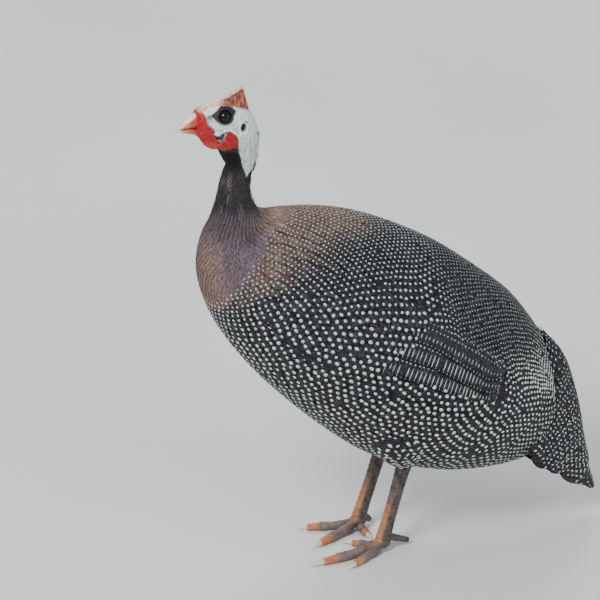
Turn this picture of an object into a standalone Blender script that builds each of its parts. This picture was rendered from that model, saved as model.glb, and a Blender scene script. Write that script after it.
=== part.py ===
"""A helmeted guinea fowl standing at rest, life size, as a still museum model.

Metres, +Z up. The bird faces -Y, its left side is +X, and the origin is on the floor
under the middle of its length. Sizes are written in millimetres and turned into metres
by MM. Y is counted from the line through the ankle joints of the two feet and moved to
the origin by LENGTH_MIDDLE when a piece is made.
"""

import math

import bmesh
import bpy
import numpy as np

MM = 0.001
GAP = 0.35                # between two pieces that touch
SEED = 11

# Places along the middle plane, as (y, z): the two ends of the bird set the origin.
BILL_TIP = (-174.0, 408.0)
TAIL_TIP = (203.0, 21.0)
LENGTH_MIDDLE = (BILL_TIP[0] + TAIL_TIP[0]) / 2

# Rings of the body from the rump to the foot of the neck: the low point (y, z), the
# high point (y, z) and half the width.
TORSO = (
    ((163.0, 106.0), (164.0, 114.0), 5.0),
    ((159.0, 86.0), (163.0, 141.0), 22.0),
    ((150.0, 72.0), (156.0, 165.0), 34.0),
    ((134.0, 65.0), (143.0, 190.0), 46.0),
    ((110.0, 62.0), (122.0, 219.0), 58.0),
    ((80.0, 63.0), (88.0, 249.0), 70.0),
    ((50.0, 68.0), (55.0, 274.0), 78.0),
    ((18.0, 78.0), (18.0, 295.0), 82.0),
    ((-14.0, 95.0), (-14.0, 309.0), 81.0),
    ((-45.0, 119.0), (-42.0, 316.5), 76.0),
    ((-72.0, 144.0), (-62.0, 319.5), 69.0),
    ((-97.0, 170.0), (-77.0, 321.0), 60.0),
    ((-121.0, 200.0), (-88.0, 322.0), 50.0),
    ((-140.0, 231.0), (-95.0, 324.0), 40.5),
    ((-151.0, 261.0), (-99.5, 326.0), 32.0),
    ((-153.5, 284.0), (-102.0, 328.5), 26.0),
    ((-150.0, 304.0), (-103.5, 332.0), 21.5),
)
NECK = (
    ((-149.8, 304.3), (-103.5, 332.4), 21.5),
    ((-143.5, 318.0), (-106.0, 337.0), 18.0),
    ((-139.0, 332.0), (-108.0, 342.5), 15.0),
    ((-136.0, 345.0), (-109.0, 350.0), 13.0),
    ((-133.5, 356.0), (-109.3, 357.0), 12.0),
    ((-130.5, 366.0), (-108.5, 361.0), 11.3),
    ((-128.5, 372.0), (-106.8, 363.5), 11.0),
    ((-131.5, 378.0), (-105.0, 365.0), 11.0),
    ((-135.2, 386.2), (-104.4, 366.2), 11.2),
)
HEAD = (
    ((-135.4, 386.7), (-104.6, 366.7), 11.2),
    ((-138.5, 390.2), (-102.8, 377.0), 12.0),
    ((-142.0, 393.2), (-101.3, 390.0), 12.8),
    ((-145.5, 395.8), (-101.5, 403.0), 13.6),
    ((-148.5, 398.0), (-104.8, 414.0), 14.0),
    ((-151.0, 399.8), (-111.0, 422.8), 14.0),
    ((-152.8, 401.2), (-120.0, 428.5), 13.6),
    ((-154.2, 402.3), (-131.0, 430.5), 12.6),
    ((-155.0, 403.2), (-141.5, 430.0), 11.0),
    ((-155.6, 403.8), (-150.0, 427.8), 9.0),
    ((-156.0, 404.2), (-156.0, 423.6), 6.6),
)
BILL_UPPER = (
    ((-156.35, 410.2), (-156.35, 423.2), 5.6),
    ((-161.3, 410.3), (-161.3, 420.8), 4.7),
    ((-166.7, 410.0), (-166.7, 417.6), 3.4),
    ((-171.2, 408.6), (-171.2, 413.8), 2.0),
    ((-174.0, 407.0), (-174.0, 409.6), 0.8),
)
BILL_LOWER = (
    ((-156.35, 404.2), (-156.35, 409.8), 4.8),
    ((-161.5, 405.2), (-161.5, 409.9), 3.8),
    ((-166.5, 406.7), (-166.5, 409.4), 2.4),
    ((-169.3, 407.6), (-169.3, 408.7), 1.0),
)
# The bony helmet: a low front on the brow, a rounded peak and a steep rear edge.
HELMET = (
    ((-151.5, 422.0), (-151.5, 426.0), 1.5),
    ((-147.5, 422.0), (-147.5, 430.6), 3.6),
    ((-141.0, 422.0), (-141.0, 433.8), 5.0),
    ((-134.5, 422.0), (-134.0, 435.6), 6.0),
    ((-128.0, 421.0), (-127.0, 437.4), 6.6),
    ((-121.5, 420.0), (-120.5, 440.6), 6.6),
    ((-116.5, 418.0), (-116.0, 443.0), 5.8),
    ((-112.5, 415.0), (-113.3, 441.5), 4.6),
    ((-109.5, 413.0), (-112.0, 434.0), 3.6),
    ((-107.5, 412.0), (-109.5, 425.0), 2.2),
)

EYE_CENTRE = (7.4, -134.3, 422.2)
EYE_RADIUS = 7.2
LID_RADIUS = 6.1
LID_SIDE = 11.6
EAR_CENTRE = (13.2, -118.0, 411.5)
CERE_CENTRE = (3.8, -151.8, 420.8)
NOSTRIL_CENTRE = (7.6, -154.0, 421.6)
CERE_RADII = (4.4, 3.9, 4.2)
LID_THICKNESS = 1.1
LID_HEIGHT = 0.9              # as a share of its length
EAR_RIM = (3.3, 1.0, 1.25)     # ring radius, half its thickness and its height over its length
EAR_CUP_RADII = (3.4, 2.4, 3.2)
NOSTRIL_RADII = (1.8, 1.9, 1.1)
# The line of the mouth: a wedge cut from the front of the head back to its corner.
GAPE_CORNER = (-145.5, 410.6)
GAPE_FRONT = -158.0
GAPE_OPEN = 0.6
GAPE_HALF_WIDTH = 9.5

# The red wattle: a path along its middle, each with half its depth and half its thickness.
WATTLE = (
    ((9.6, -154.5, 413.0), 2.4, 1.1),
    ((10.6, -153.0, 407.0), 4.2, 1.5),
    ((11.8, -148.5, 401.6), 5.2, 1.8),
    ((13.0, -141.0, 398.2), 5.0, 2.0),
    ((13.9, -132.5, 398.4), 6.0, 2.1),
    ((14.3, -128.0, 403.4), 5.4, 1.9),
    ((14.0, -128.8, 408.0), 3.0, 1.4),
    ((13.6, -129.6, 411.5), 1.0, 0.9),
)

# The folded wing in side view, as (y, z): its upper and its lower edge, front to tip.
WING_UPPER = ((-98.0, 266.0), (-62.0, 284.0), (-10.0, 277.0), (45.0, 248.0), (95.0, 203.0), (134.0, 152.0))
WING_LOWER = ((-104.0, 244.0), (-72.0, 212.0), (-20.0, 192.0), (40.0, 172.0), (90.0, 152.0), (129.0, 134.0))
# Each tier of the wing: where along it the vanes start and end, how many they are, and
# how much earlier the uppermost ends than the lowest.
WING_TIERS = (
    (0.02, 0.26, 5, 0.00),
    (0.12, 0.41, 5, 0.00),
    (0.24, 0.56, 5, 0.00),
    (0.36, 0.75, 6, 0.04),
    (0.50, 1.00, 7, 0.14),
)
# A vane's half width as a share of the step to the next, its thickness, how far its edges
# are rolled up and down, and its height over the surface at root, neck and tip.
VANE_WIDTH = 0.66
VANE_THICKNESS = 0.6
VANE_ROLL = 0.6
VANE_LIFTS = ((0.0, 0.2, 1.0), (-1.0, 1.1, 4.3))
# The wing's plate: how far its top stands off the body, how deep it reaches and where it
# ends along the wing, half way to the tips.
WING_RAISE = 1.6
WING_CORE_DEPTH = -3.5
WING_CORE_END = 0.52

# The tail: its ridge on the middle plane and its outer edge, root to tip, as (x, y, z).
TAIL_RIDGE = ((0.0, 158.0, 172.0), (0.0, 173.0, 148.0), (0.0, 184.0, 110.0), (0.0, 191.5, 66.0), (0.0, 202.5, 21.5))
TAIL_EDGE = ((42.0, 116.0, 92.0), (37.0, 132.0, 74.0), (30.0, 152.0, 60.0), (20.0, 173.0, 47.0), (9.0, 194.0, 26.0))
TAIL_TIERS = (
    (0.00, 0.40, 5, 0.00),
    (0.20, 0.71, 5, 0.00),
    (0.44, 1.00, 7, 0.00),
)
# How far the tail's underside hangs below the line between its edges.
UNDERTAIL_HANG = 3.0
# How deep the tail's core lies under its vanes, along the tail: it ends half way down.
TAIL_CORE_SINK = ((0.0, 0.45, 0.55), (0.0, 0.0, 1.5))

# Legs: the ankle and hock of each, its toes as a tip and a claw length, seen from above.
LEGS = {
    "left": {
        "ankle": (24.0, 4.0, 12.0),
        "hock": (22.0, 25.5, 86.0),
        "toes": {
            "middle": ((36.0, -55.0), 4.5, 10.0),
            "outer": ((48.0, -30.0), 4.1, 8.5),
            "inner": ((6.5, -18.5), 3.9, 8.0),
        },
        "hind": (18.5, 29.0),
    },
    "right": {
        "ankle": (-24.0, -2.0, 12.0),
        "hock": (-22.0, 21.0, 86.0),
        "toes": {
            "middle": ((0.0, -45.5), 4.5, 10.0),
            "outer": ((-34.5, -46.5), 4.1, 8.5),
            "inner": ((-4.0, -0.5), 3.9, 7.5),
        },
        "hind": (-30.0, 10.0),
    },
}
KNUCKLE = (6.4, 7.6, 6.0)
# The thigh: places counted outwards, back and up from the hock, half its width and depth.
THIGH = (
    ((-0.3, -1.0, -2.5), 10.5, 11.0),
    ((2.0, -3.0, 5.0), 15.0, 17.0),
    ((12.0, -6.0, 23.0), 24.0, 29.0),
    ((20.0, -9.0, 42.0), 28.5, 37.0),
    ((24.0, -12.0, 60.0), 23.5, 33.0),
    ((27.0, -15.0, 80.0), 9.0, 14.0),
)
SHANK_DEPTH = (7.4, 6.2, 5.7, 5.8, 6.4)
SHANK_WIDTH = (6.0, 4.9, 4.4, 4.5, 5.4)
SCUTE_COUNT = 11
SCUTE_RAISE = 0.35

MATERIALS = {
    "plumage": ((0.028, 0.029, 0.033), 0.75),
    "neck_plumage": ((0.035, 0.032, 0.034), 0.75),
    "face_skin": ((0.60, 0.74, 0.72), 0.5),
    "wattle_skin": ((0.53, 0.025, 0.02), 0.42),
    "helmet_horn": ((0.50, 0.20, 0.11), 0.5),
    "bill_horn": ((0.78, 0.55, 0.36), 0.4),
    "eye": ((0.012, 0.010, 0.010), 0.08),
    "leg_scales": ((0.085, 0.065, 0.06), 0.6),
    "claw_horn": ((0.80, 0.68, 0.52), 0.4),
}


def clear_scene():
    for obj in list(bpy.data.objects):
        bpy.data.objects.remove(obj, do_unlink=True)


def make_material(name):
    colour, roughness = MATERIALS[name]
    material = bpy.data.materials.get(name) or bpy.data.materials.new(name)
    material.use_nodes = True
    shader = material.node_tree.nodes["Principled BSDF"]
    shader.inputs["Base Color"].default_value = (*colour, 1.0)
    shader.inputs["Roughness"].default_value = roughness
    shader.inputs["Metallic"].default_value = 0.0
    material.diffuse_color = (*colour, 1.0)
    return material


def new_object(name, points, faces):
    """Makes a closed mesh object from points in millimetres, faces turned outwards."""
    placed = (np.asarray(points, float) - (0.0, LENGTH_MIDDLE, 0.0)) * MM
    mesh = bpy.data.meshes.new(name)
    mesh.from_pydata(placed.tolist(), [], faces)
    shape = bmesh.new()
    shape.from_mesh(mesh)
    bmesh.ops.recalc_face_normals(shape, faces=shape.faces)
    shape.to_mesh(mesh)
    shape.free()
    obj = bpy.data.objects.new(name, mesh)
    bpy.context.scene.collection.objects.link(obj)
    return obj


def finish_node(obj, name, material):
    obj.name = name
    obj.data.name = name
    obj.data.materials.clear()
    obj.data.materials.append(make_material(material))
    obj.data.shade_smooth()
    obj.data.set_sharp_from_angle(angle=math.radians(40))
    return obj


def curve(points, t):
    """Reads a smooth curve through the points, at t from 0 to 1 of its count of spans."""
    points = np.asarray(points, float)
    t = np.asarray(t, float)
    last = len(points) - 1
    place = np.clip(t, 0.0, 1.0) * last
    span = np.minimum(place.astype(int), last - 1)
    f = (place - span)[..., None]
    before = points[np.maximum(span - 1, 0)]
    after = points[np.minimum(span + 2, last)]
    start, end = points[span], points[span + 1]
    return 0.5 * (
        2 * start + (end - before) * f
        + (2 * before - 5 * start + 4 * end - after) * f ** 2
        + (3 * start - before - 3 * end + after) * f ** 3
    )


class RingBody:
    """A body whose rings stand between a low and a high line of the middle plane."""

    def __init__(self, stations, low_full=0.0, square=1.0):
        self.lows = np.array([s[0] for s in stations])
        self.highs = np.array([s[1] for s in stations])
        self.widths = np.array([[s[2]] for s in stations])
        self.low_full = low_full
        self.square = square

    def ring(self, t):
        return curve(self.lows, t), curve(self.highs, t), curve(self.widths, t)[..., 0]

    def point(self, t, turn):
        """The surface at t along the body and turn around it, 0 at the top, + to the left."""
        low, high, width = self.ring(t)
        up = np.sign(np.cos(turn)) * np.abs(np.cos(turn)) ** self.square
        out = np.sign(np.sin(turn)) * np.abs(np.sin(turn)) ** self.square
        middle, half = (low + high) / 2, (high - low) / 2
        yz = middle + half * up[..., None]
        x = width * out * (1 - self.low_full * up)
        return np.stack([x, yz[..., 0], yz[..., 1]], axis=-1)

    def normal(self, t, turn):
        step_t, step_turn = 0.004, 0.02
        along = self.point(np.minimum(t + step_t, 1.0), turn) - self.point(np.maximum(t - step_t, 0.0), turn)
        around = self.point(t, turn + step_turn) - self.point(t, turn - step_turn)
        normal = np.cross(along, around)
        return normal / np.linalg.norm(normal, axis=-1, keepdims=True)

    def from_side(self, yz):
        """Finds t and turn on the left side at a place (y, z) of the side view."""
        yz = np.asarray(yz, float)
        table = np.linspace(0.0, 1.0, 321)
        low, high, _ = self.ring(table)
        middle, half = (low + high) / 2, (high - low) / 2
        away = yz[..., None, :] - middle
        across = away[..., 0] * half[:, 1] - away[..., 1] * half[:, 0]
        change = np.sign(across[..., :-1]) != np.sign(across[..., 1:])
        first = np.argmax(change, axis=-1)
        here = np.take_along_axis(across, first[..., None], -1)[..., 0]
        after = np.take_along_axis(across, first[..., None] + 1, -1)[..., 0]
        t = (first + here / (here - after)) / (len(table) - 1)
        low, high, _ = self.ring(t)
        middle, half = (low + high) / 2, (high - low) / 2
        share = ((yz - middle) * half).sum(-1) / (half ** 2).sum(-1)
        share = np.clip(share, -0.999, 0.999)
        up = np.sign(share) * np.abs(share) ** (1 / self.square)
        return t, np.arccos(up)


def tube_faces(rows, columns, first_pole, last_pole):
    """Faces of a closed tube of point rings, with a pole point at each end."""
    faces = []
    for row in range(rows - 1):
        for column in range(columns):
            following = (column + 1) % columns
            a, b = row * columns + column, row * columns + following
            faces.append((a, b, b + columns, a + columns))
    last = (rows - 1) * columns
    for column in range(columns):
        following = (column + 1) % columns
        faces.append((column, first_pole, following))
        faces.append((last + column, last + following, last_pole))
    return faces


def tube_object(name, rings):
    """A closed tube through rings of points, shape (rows, columns, 3)."""
    rings = np.asarray(rings, float)
    rows, columns = rings.shape[:2]
    poles = [rings[0].mean(axis=0), rings[-1].mean(axis=0)]
    points = np.concatenate([rings.reshape(-1, 3), poles])
    faces = tube_faces(rows, columns, rows * columns, rows * columns + 1)
    return new_object(name, points, faces)


def body_object(name, body, rows, columns, grow=0.0, ends=(0.0, 1.0)):
    """The ring body as a closed mesh, grown outwards by grow millimetres."""
    t = np.linspace(ends[0], ends[1], rows)[:, None]
    turn = np.linspace(0.0, math.tau, columns, endpoint=False)[None, :]
    t, turn = np.broadcast_arrays(t, turn)
    rings = body.point(t, turn) + body.normal(t, turn) * grow
    return tube_object(name, rings)


def path_object(name, path, widths, depths, columns, wide=(1.0, 0.0, 0.0), floor=None, first=None):
    """A tube along a path, with half its width along wide and half its depth across it.

    No point lies below floor, and first is the way that the first ring faces.
    """
    path = np.asarray(path, float)
    ahead = np.gradient(path, axis=0)
    if first is not None:
        ahead[0] = first
    ahead /= np.linalg.norm(ahead, axis=1, keepdims=True)
    side = np.asarray(wide, float) - ahead * (ahead @ np.asarray(wide, float))[:, None]
    side /= np.linalg.norm(side, axis=1, keepdims=True)
    over = np.cross(ahead, side)
    turn = np.linspace(0.0, math.tau, columns, endpoint=False)
    rings = (
        path[:, None]
        + side[:, None] * (np.asarray(widths)[:, None] * np.cos(turn))[..., None]
        + over[:, None] * (np.asarray(depths)[:, None] * np.sin(turn))[..., None]
    )
    if floor is not None:
        rings[..., 2] = np.maximum(rings[..., 2], floor)
    return tube_object(name, rings)


def ellipsoid(name, centre, radii, rows=9, columns=14):
    lift = np.linspace(-math.pi / 2, math.pi / 2, rows + 2)[1:-1][:, None]
    turn = np.linspace(0.0, math.tau, columns, endpoint=False)[None, :]
    rings = np.stack([
        np.broadcast_to(np.sin(lift), (rows, columns)) * radii[0],
        np.cos(lift) * np.cos(turn) * radii[1],
        np.cos(lift) * np.sin(turn) * radii[2],
    ], axis=-1)
    obj = tube_object(name, rings + np.asarray(centre))
    poles = len(obj.data.vertices)
    for index, sign in ((poles - 2, -1), (poles - 1, 1)):
        obj.data.vertices[index].co.x = (centre[0] + sign * radii[0]) * MM
    return obj


def torus(name, centre, ring_radius, tube_radius, tall, columns, sides=5):
    """A ring lying flat in the plane across X, its height tall times its length."""
    turn = np.linspace(0.0, math.tau, columns, endpoint=False)[:, None]
    round_tube = np.linspace(0.0, math.tau, sides, endpoint=False)[None, :]
    reach = ring_radius + tube_radius * np.cos(round_tube)
    points = np.stack([
        np.broadcast_to(tube_radius * np.sin(round_tube), (columns, sides)),
        reach * np.cos(turn),
        reach * np.sin(turn) * tall,
    ], axis=-1) + np.asarray(centre)
    faces = []
    for row in range(columns):
        for side in range(sides):
            after, beside = (row + 1) % columns, (side + 1) % sides
            faces.append((row * sides + side, after * sides + side,
                          after * sides + beside, row * sides + beside))
    return new_object(name, points.reshape(-1, 3), faces)


def combine(obj, others, operation, solver="EXACT"):
    """Joins or cuts obj with the other closed objects in one Boolean, and removes them."""
    helpers = bpy.data.collections.new("helpers")
    bpy.context.scene.collection.children.link(helpers)
    for other in others:
        bpy.context.scene.collection.objects.unlink(other)
        helpers.objects.link(other)
    modifier = obj.modifiers.new("combine", "BOOLEAN")
    modifier.operation = operation
    modifier.solver = solver
    modifier.operand_type = "COLLECTION"
    modifier.collection = helpers
    if solver == "EXACT":
        modifier.use_self = False
    graph = bpy.context.evaluated_depsgraph_get()
    result = bpy.data.meshes.new_from_object(obj.evaluated_get(graph))
    obj.modifiers.clear()
    obj.data = result
    for other in list(helpers.objects):
        bpy.data.objects.remove(other, do_unlink=True)
    bpy.data.collections.remove(helpers)
    return obj


def keep_largest(obj):
    """Keeps the largest closed surface of the mesh, split into triangles without a fold."""
    for quads in ("BEAUTY", "FIXED", "SHORT_EDGE", "LONG_EDGE"):
        shape = bmesh.new()
        shape.from_mesh(obj.data)
        bmesh.ops.triangulate(shape, faces=shape.faces, quad_method=quads)
        if all(len(edge.link_faces) == 2 for edge in shape.edges):
            break
    unseen = set(shape.faces)
    parts = []
    while unseen:
        stack = [unseen.pop()]
        part = list(stack)
        while stack:
            for edge in stack.pop().edges:
                for face in edge.link_faces:
                    if face in unseen:
                        unseen.remove(face)
                        stack.append(face)
                        part.append(face)
        parts.append(part)
    parts.sort(key=lambda part: sum(face.calc_area() for face in part), reverse=True)
    for part in parts[1:]:
        bmesh.ops.delete(shape, geom=part, context="FACES")
    loose = [vertex for vertex in shape.verts if not vertex.link_faces]
    bmesh.ops.delete(shape, geom=loose, context="VERTS")
    shape.to_mesh(obj.data)
    shape.free()
    return obj


def vane(name, surface, start, end, half_width, roll, sections, columns):
    """A feather's vane lying on a surface: a thin closed strip, rounded at its tip.

    surface(a, b, lift) gives points; start and end are (a, b) places of the middle line,
    roll lifts one edge over the neighbour, and both faces are split the same way.
    """
    share = 1 - (1 - np.linspace(0.0, 1.0, sections)) ** 1.4
    a = start[0] + (end[0] - start[0]) * share
    b = start[1] + (end[1] - start[1]) * share
    outline = np.interp(share, (0.0, 0.2, 0.7, 0.87, 1.0), (0.55, 0.9, 1.0, 0.84, 0.36))
    lift = np.interp(share, *VANE_LIFTS)
    lines = []
    for across in np.linspace(-1.0, 1.0, columns):
        middle = b + across * half_width * outline
        for face in (0.5, -0.5):
            lines.append(surface(a, middle, lift + across * roll + face * VANE_THICKNESS))
    points = np.stack(lines, axis=1).reshape(-1, 3)
    ring = 2 * columns
    faces = []
    for row in range(sections - 1):
        here, there = row * ring, row * ring + ring
        for corner in range(ring - 2):
            p, q = here + corner, here + corner + 2
            r, s = there + corner + 2, there + corner
            faces += [(p, q, r), (p, r, s)]
        for edge in (0, ring - 2):
            p, q = here + edge, there + edge
            faces += [(p, p + 1, q + 1), (p, q + 1, q)]
    for base in (0, (sections - 1) * ring):
        for left in range(0, ring - 2, 2):
            p = base + left
            faces += [(p, p + 2, p + 3), (p, p + 3, p + 1)]
    return new_object(name, points, faces)


def slab(name, surface, a_values, b_values, low_lift, high_lift):
    """A closed plate on a surface between two heights over it."""
    a, b = np.meshgrid(a_values, b_values, indexing="ij")
    top = surface(a, b, np.full(a.shape, high_lift))
    bottom = surface(a, b, np.full(a.shape, low_lift))
    rows, columns = a.shape
    points = np.concatenate([top.reshape(-1, 3), bottom.reshape(-1, 3)])
    under = rows * columns
    faces = []
    for row in range(rows - 1):
        for column in range(columns - 1):
            p = row * columns + column
            quad = (p, p + 1, p + columns + 1, p + columns)
            faces.append(quad)
            faces.append(tuple(under + q for q in reversed(quad)))
    rim = [row * columns for row in range(rows)]
    rim += [(rows - 1) * columns + column for column in range(1, columns)]
    rim += [row * columns + columns - 1 for row in range(rows - 2, -1, -1)]
    rim += list(range(columns - 2, 0, -1))
    for here, there in zip(rim, rim[1:] + rim[:1]):
        faces.append((here, there, under + there, under + here))
    return new_object(name, points, faces)


def tiers(surface, table, roll, spread, columns, rng):
    """The vanes of every tier over a surface, the flight feathers last.

    A tier gives where its vanes start and end, how many they are and how much earlier the
    first one ends than the last. Over a spread that is even about 0 the middle vane lies
    on top, and the vanes are rolled away from it to both sides.
    """
    made = []
    for tier, (start, end, count, stagger) in enumerate(table):
        long_vanes = tier == len(table) - 1
        half_width = VANE_WIDTH * (spread[1] - spread[0]) / count
        for index in range(count):
            share = (index + 0.5) / count
            place = spread[0] + (spread[1] - spread[0]) * share
            turned = roll * np.sign(round(place, 6)) if spread[0] < 0 else roll
            shift = rng.uniform(-0.008, 0.008)
            tip = end - stagger * (1 - share) + (0.0 if long_vanes else shift)
            made.append(vane(
                f"vane_{tier}_{index}", surface, (start + shift, place), (tip, place),
                half_width * rng.uniform(0.96, 1.03), turned,
                5 if long_vanes else 4, columns,
            ))
    return made


torso_body = RingBody(TORSO, low_full=0.08)
neck_body = RingBody(NECK)
head_body = RingBody(HEAD, square=0.88)


def wing_surface(side):
    """Points over the side of the body: a runs along the wing and b from top to bottom."""
    def place(a, b, lift):
        upper, lower = curve(WING_UPPER, a), curve(WING_LOWER, a)
        t, turn = torso_body.from_side(upper + (lower - upper) * np.asarray(b)[..., None])
        height = np.asarray(lift)[..., None] + WING_RAISE
        return (torso_body.point(t, turn) + torso_body.normal(t, turn) * height) * (side, 1.0, 1.0)
    return place


def make_torso():
    torso = body_object("torso", torso_body, 26, 28)
    return finish_node(torso, "torso", "plumage")


def torso_cutter():
    """The body grown by the gap, which trims what is set into it."""
    return body_object("torso_cutter", torso_body, 26, 28, grow=GAP)


def make_wing(name, side):
    rng = np.random.default_rng(SEED)
    surface = wing_surface(side)
    steps = np.linspace(0.0, WING_CORE_END, 7)
    core = slab(name, surface, steps, np.linspace(0.0, 1.0, 6), WING_CORE_DEPTH, 0.0)
    vanes = tiers(surface, WING_TIERS, -VANE_ROLL, (0.0, 1.0), 2, rng)
    combine(core, vanes, "UNION", "MANIFOLD")
    combine(core, [torso_cutter()], "DIFFERENCE", "MANIFOLD")
    return finish_node(keep_largest(core), name, "plumage")


def tail_surface(a, b, lift):
    """Points over the drooping tail: a runs from its root to its tip and b across it."""
    ridge, edge = curve(TAIL_RIDGE, a), curve(TAIL_EDGE, a)
    b = np.asarray(b)
    turn = np.clip(np.abs(b), 0.0, 1.2) * math.pi / 2
    x = edge[..., 0] * np.sin(turn) * np.sign(b)
    yz = ridge[..., 1:] + (edge[..., 1:] - ridge[..., 1:]) * (1 - np.cos(turn))[..., None]
    out = np.stack([
        np.sin(turn) * np.sign(b),
        np.cos(turn) * 0.94,
        np.cos(turn) * 0.34,
    ], axis=-1)
    out /= np.linalg.norm(out, axis=-1, keepdims=True)
    return np.stack([x, yz[..., 0], yz[..., 1]], axis=-1) + out * np.asarray(lift)[..., None]


def undertail_surface(a, b, lift):
    """Points under the tail, from one of its outer edges to the other."""
    edge = curve(TAIL_EDGE, a)
    b = np.asarray(b)
    hang = (1 - b ** 2) * UNDERTAIL_HANG + np.asarray(lift)
    return np.stack([edge[..., 0] * b, edge[..., 1] - 0.75 * hang, edge[..., 2] - 0.66 * hang], axis=-1)


def make_tail():
    rng = np.random.default_rng(SEED)
    steps = np.linspace(0.0, TAIL_CORE_SINK[0][-1], 7)
    turn = np.linspace(-1.0, 1.0, 9)
    rings = []
    for a in steps:
        sink = np.interp(a, TAIL_CORE_SINK[0], TAIL_CORE_SINK[1])
        arch = tail_surface(np.full(turn.shape, a), turn, np.full(turn.shape, -sink))
        under = undertail_surface(np.full(3, a), np.array([0.6, 0.0, -0.6]), np.full(3, -sink))
        rings.append(np.concatenate([arch, under]))
    core = tube_object("tail", rings)
    vanes = tiers(tail_surface, TAIL_TIERS, VANE_ROLL, (-1.0, 1.0), 3, rng)
    combine(core, vanes, "UNION", "MANIFOLD")
    combine(core, [torso_cutter()], "DIFFERENCE", "MANIFOLD")
    return finish_node(keep_largest(core), "tail", "plumage")


def make_neck():
    neck = body_object("neck", neck_body, 12, 18)
    return finish_node(neck, "neck", "neck_plumage")


def make_head():
    """The head with cere, lids, ears, the line of the mouth and nostrils."""
    head = body_object("head", head_body, 18, 20)
    raised, cut = [], []
    for side in (-1, 1):
        lid_centre = (LID_SIDE, *EYE_CENTRE[1:])
        raised.append(ellipsoid("cere", mirrored(CERE_CENTRE, side), CERE_RADII, 6, 10))
        raised.append(torus("lid", mirrored(lid_centre, side), LID_RADIUS, LID_THICKNESS, LID_HEIGHT, 14))
        raised.append(torus("ear_rim", mirrored(EAR_CENTRE, side), *EAR_RIM, 12))
        cut.append(ellipsoid("ear_cup", mirrored(EAR_CENTRE, side), EAR_CUP_RADII, 5, 10))
        cut.append(ellipsoid("nostril", mirrored(NOSTRIL_CENTRE, side), NOSTRIL_RADII, 4, 8))
        cut.append(ellipsoid("eye_socket", mirrored(EYE_CENTRE, side), (EYE_RADIUS + GAP,) * 3, 9, 14))
    points = []
    for x in (-GAPE_HALF_WIDTH, GAPE_HALF_WIDTH):
        points += [(x, GAPE_FRONT, GAPE_CORNER[1] + z) for z in (-GAPE_OPEN, GAPE_OPEN)]
        points.append((x, *GAPE_CORNER))
    cut.append(new_object("mouth", points, [(0, 1, 2), (3, 5, 4), (0, 3, 4, 1), (1, 4, 5, 2), (2, 5, 3, 0)]))
    combine(head, raised, "UNION")
    combine(head, cut, "DIFFERENCE")
    return finish_node(keep_largest(head), "head", "face_skin")


def mirrored(place, side):
    return (place[0] * side, place[1], place[2])


def make_head_pieces():
    head_cutter = body_object("head_cutter", head_body, 18, 20, grow=GAP)
    helmet = body_object("helmet", RingBody(HELMET, low_full=0.45), 14, 12)
    combine(helmet, [head_cutter], "DIFFERENCE")
    finish_node(keep_largest(helmet), "helmet", "helmet_horn")
    finish_node(body_object("bill_upper", RingBody(BILL_UPPER), 9, 12), "bill_upper", "bill_horn")
    finish_node(body_object("bill_lower", RingBody(BILL_LOWER), 7, 10), "bill_lower", "bill_horn")
    for name, side in (("left", 1), ("right", -1)):
        eye = ellipsoid("eye", mirrored(EYE_CENTRE, side), (EYE_RADIUS,) * 3, 8, 12)
        finish_node(eye, f"eye_{name}", "eye")
        make_wattle(f"wattle_{name}", side)


def make_wattle(name, side):
    """A crescent of red skin with a front and a rear lobe, hanging at the jaw's side."""
    t = np.linspace(0.0, 1.0, 11)
    path = curve([station[0] for station in WATTLE], t)
    depth = curve([[station[1]] for station in WATTLE], t)[:, 0]
    thick = curve([[station[2]] for station in WATTLE], t)[:, 0]
    path[:, 0] *= side
    wattle = path_object(name, path, thick, depth, 10)
    combine(wattle, [body_object("head_cutter", head_body, 18, 20, grow=GAP)], "DIFFERENCE")
    return finish_node(keep_largest(wattle), name, "wattle_skin")


def shank_path(leg, rows):
    share = np.linspace(0.0, 1.0, rows)[:, None]
    hock, ankle = np.array(leg["hock"]), np.array(leg["ankle"])
    return hock + (ankle - hock) * share


def make_shank(name, leg):
    """The scaled shank, a raised edge at each scute, and the knuckle of the foot."""
    rows = SCUTE_COUNT * 2
    path = shank_path(leg, rows)
    share = np.linspace(0.0, 1.0, rows)
    step = np.where(np.arange(rows) % 2 == 0, 0.0, SCUTE_RAISE)
    depths = curve([[d] for d in SHANK_DEPTH], share)[:, 0] + step
    widths = curve([[w] for w in SHANK_WIDTH], share)[:, 0]
    shank = path_object(name, path, widths, depths, 10)
    ankle = leg["ankle"]
    knuckle = ellipsoid("knuckle", (ankle[0], ankle[1] - 1.0, ankle[2] - 3.2), KNUCKLE, 7, 14)
    combine(shank, [knuckle], "UNION")
    combine(shank, [torso_cutter(), thigh_shape(leg, GAP)], "DIFFERENCE")
    return finish_node(keep_largest(shank), name, "leg_scales")


def thigh_shape(leg, grow):
    """The feathered thigh's lower end, which closes round the hock."""
    side = math.copysign(1.0, leg["ankle"][0])
    hock = np.array(leg["hock"])
    path = hock + np.array([station[0] for station in THIGH]) * (side, 1.0, 1.0)
    t = np.linspace(0.0, 1.0, 10)
    widths = curve([[station[1]] for station in THIGH], t)[:, 0] + grow
    depths = curve([[station[2]] for station in THIGH], t)[:, 0] + grow
    line = curve(path, t)
    line[0] += (0.0, 0.0, -grow)
    return path_object("thigh", line, widths, depths, 18)


def make_thigh(name, leg):
    thigh = thigh_shape(leg, 0.0)
    combine(thigh, [torso_cutter()], "DIFFERENCE")
    return finish_node(keep_largest(thigh), name, "plumage")


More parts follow.
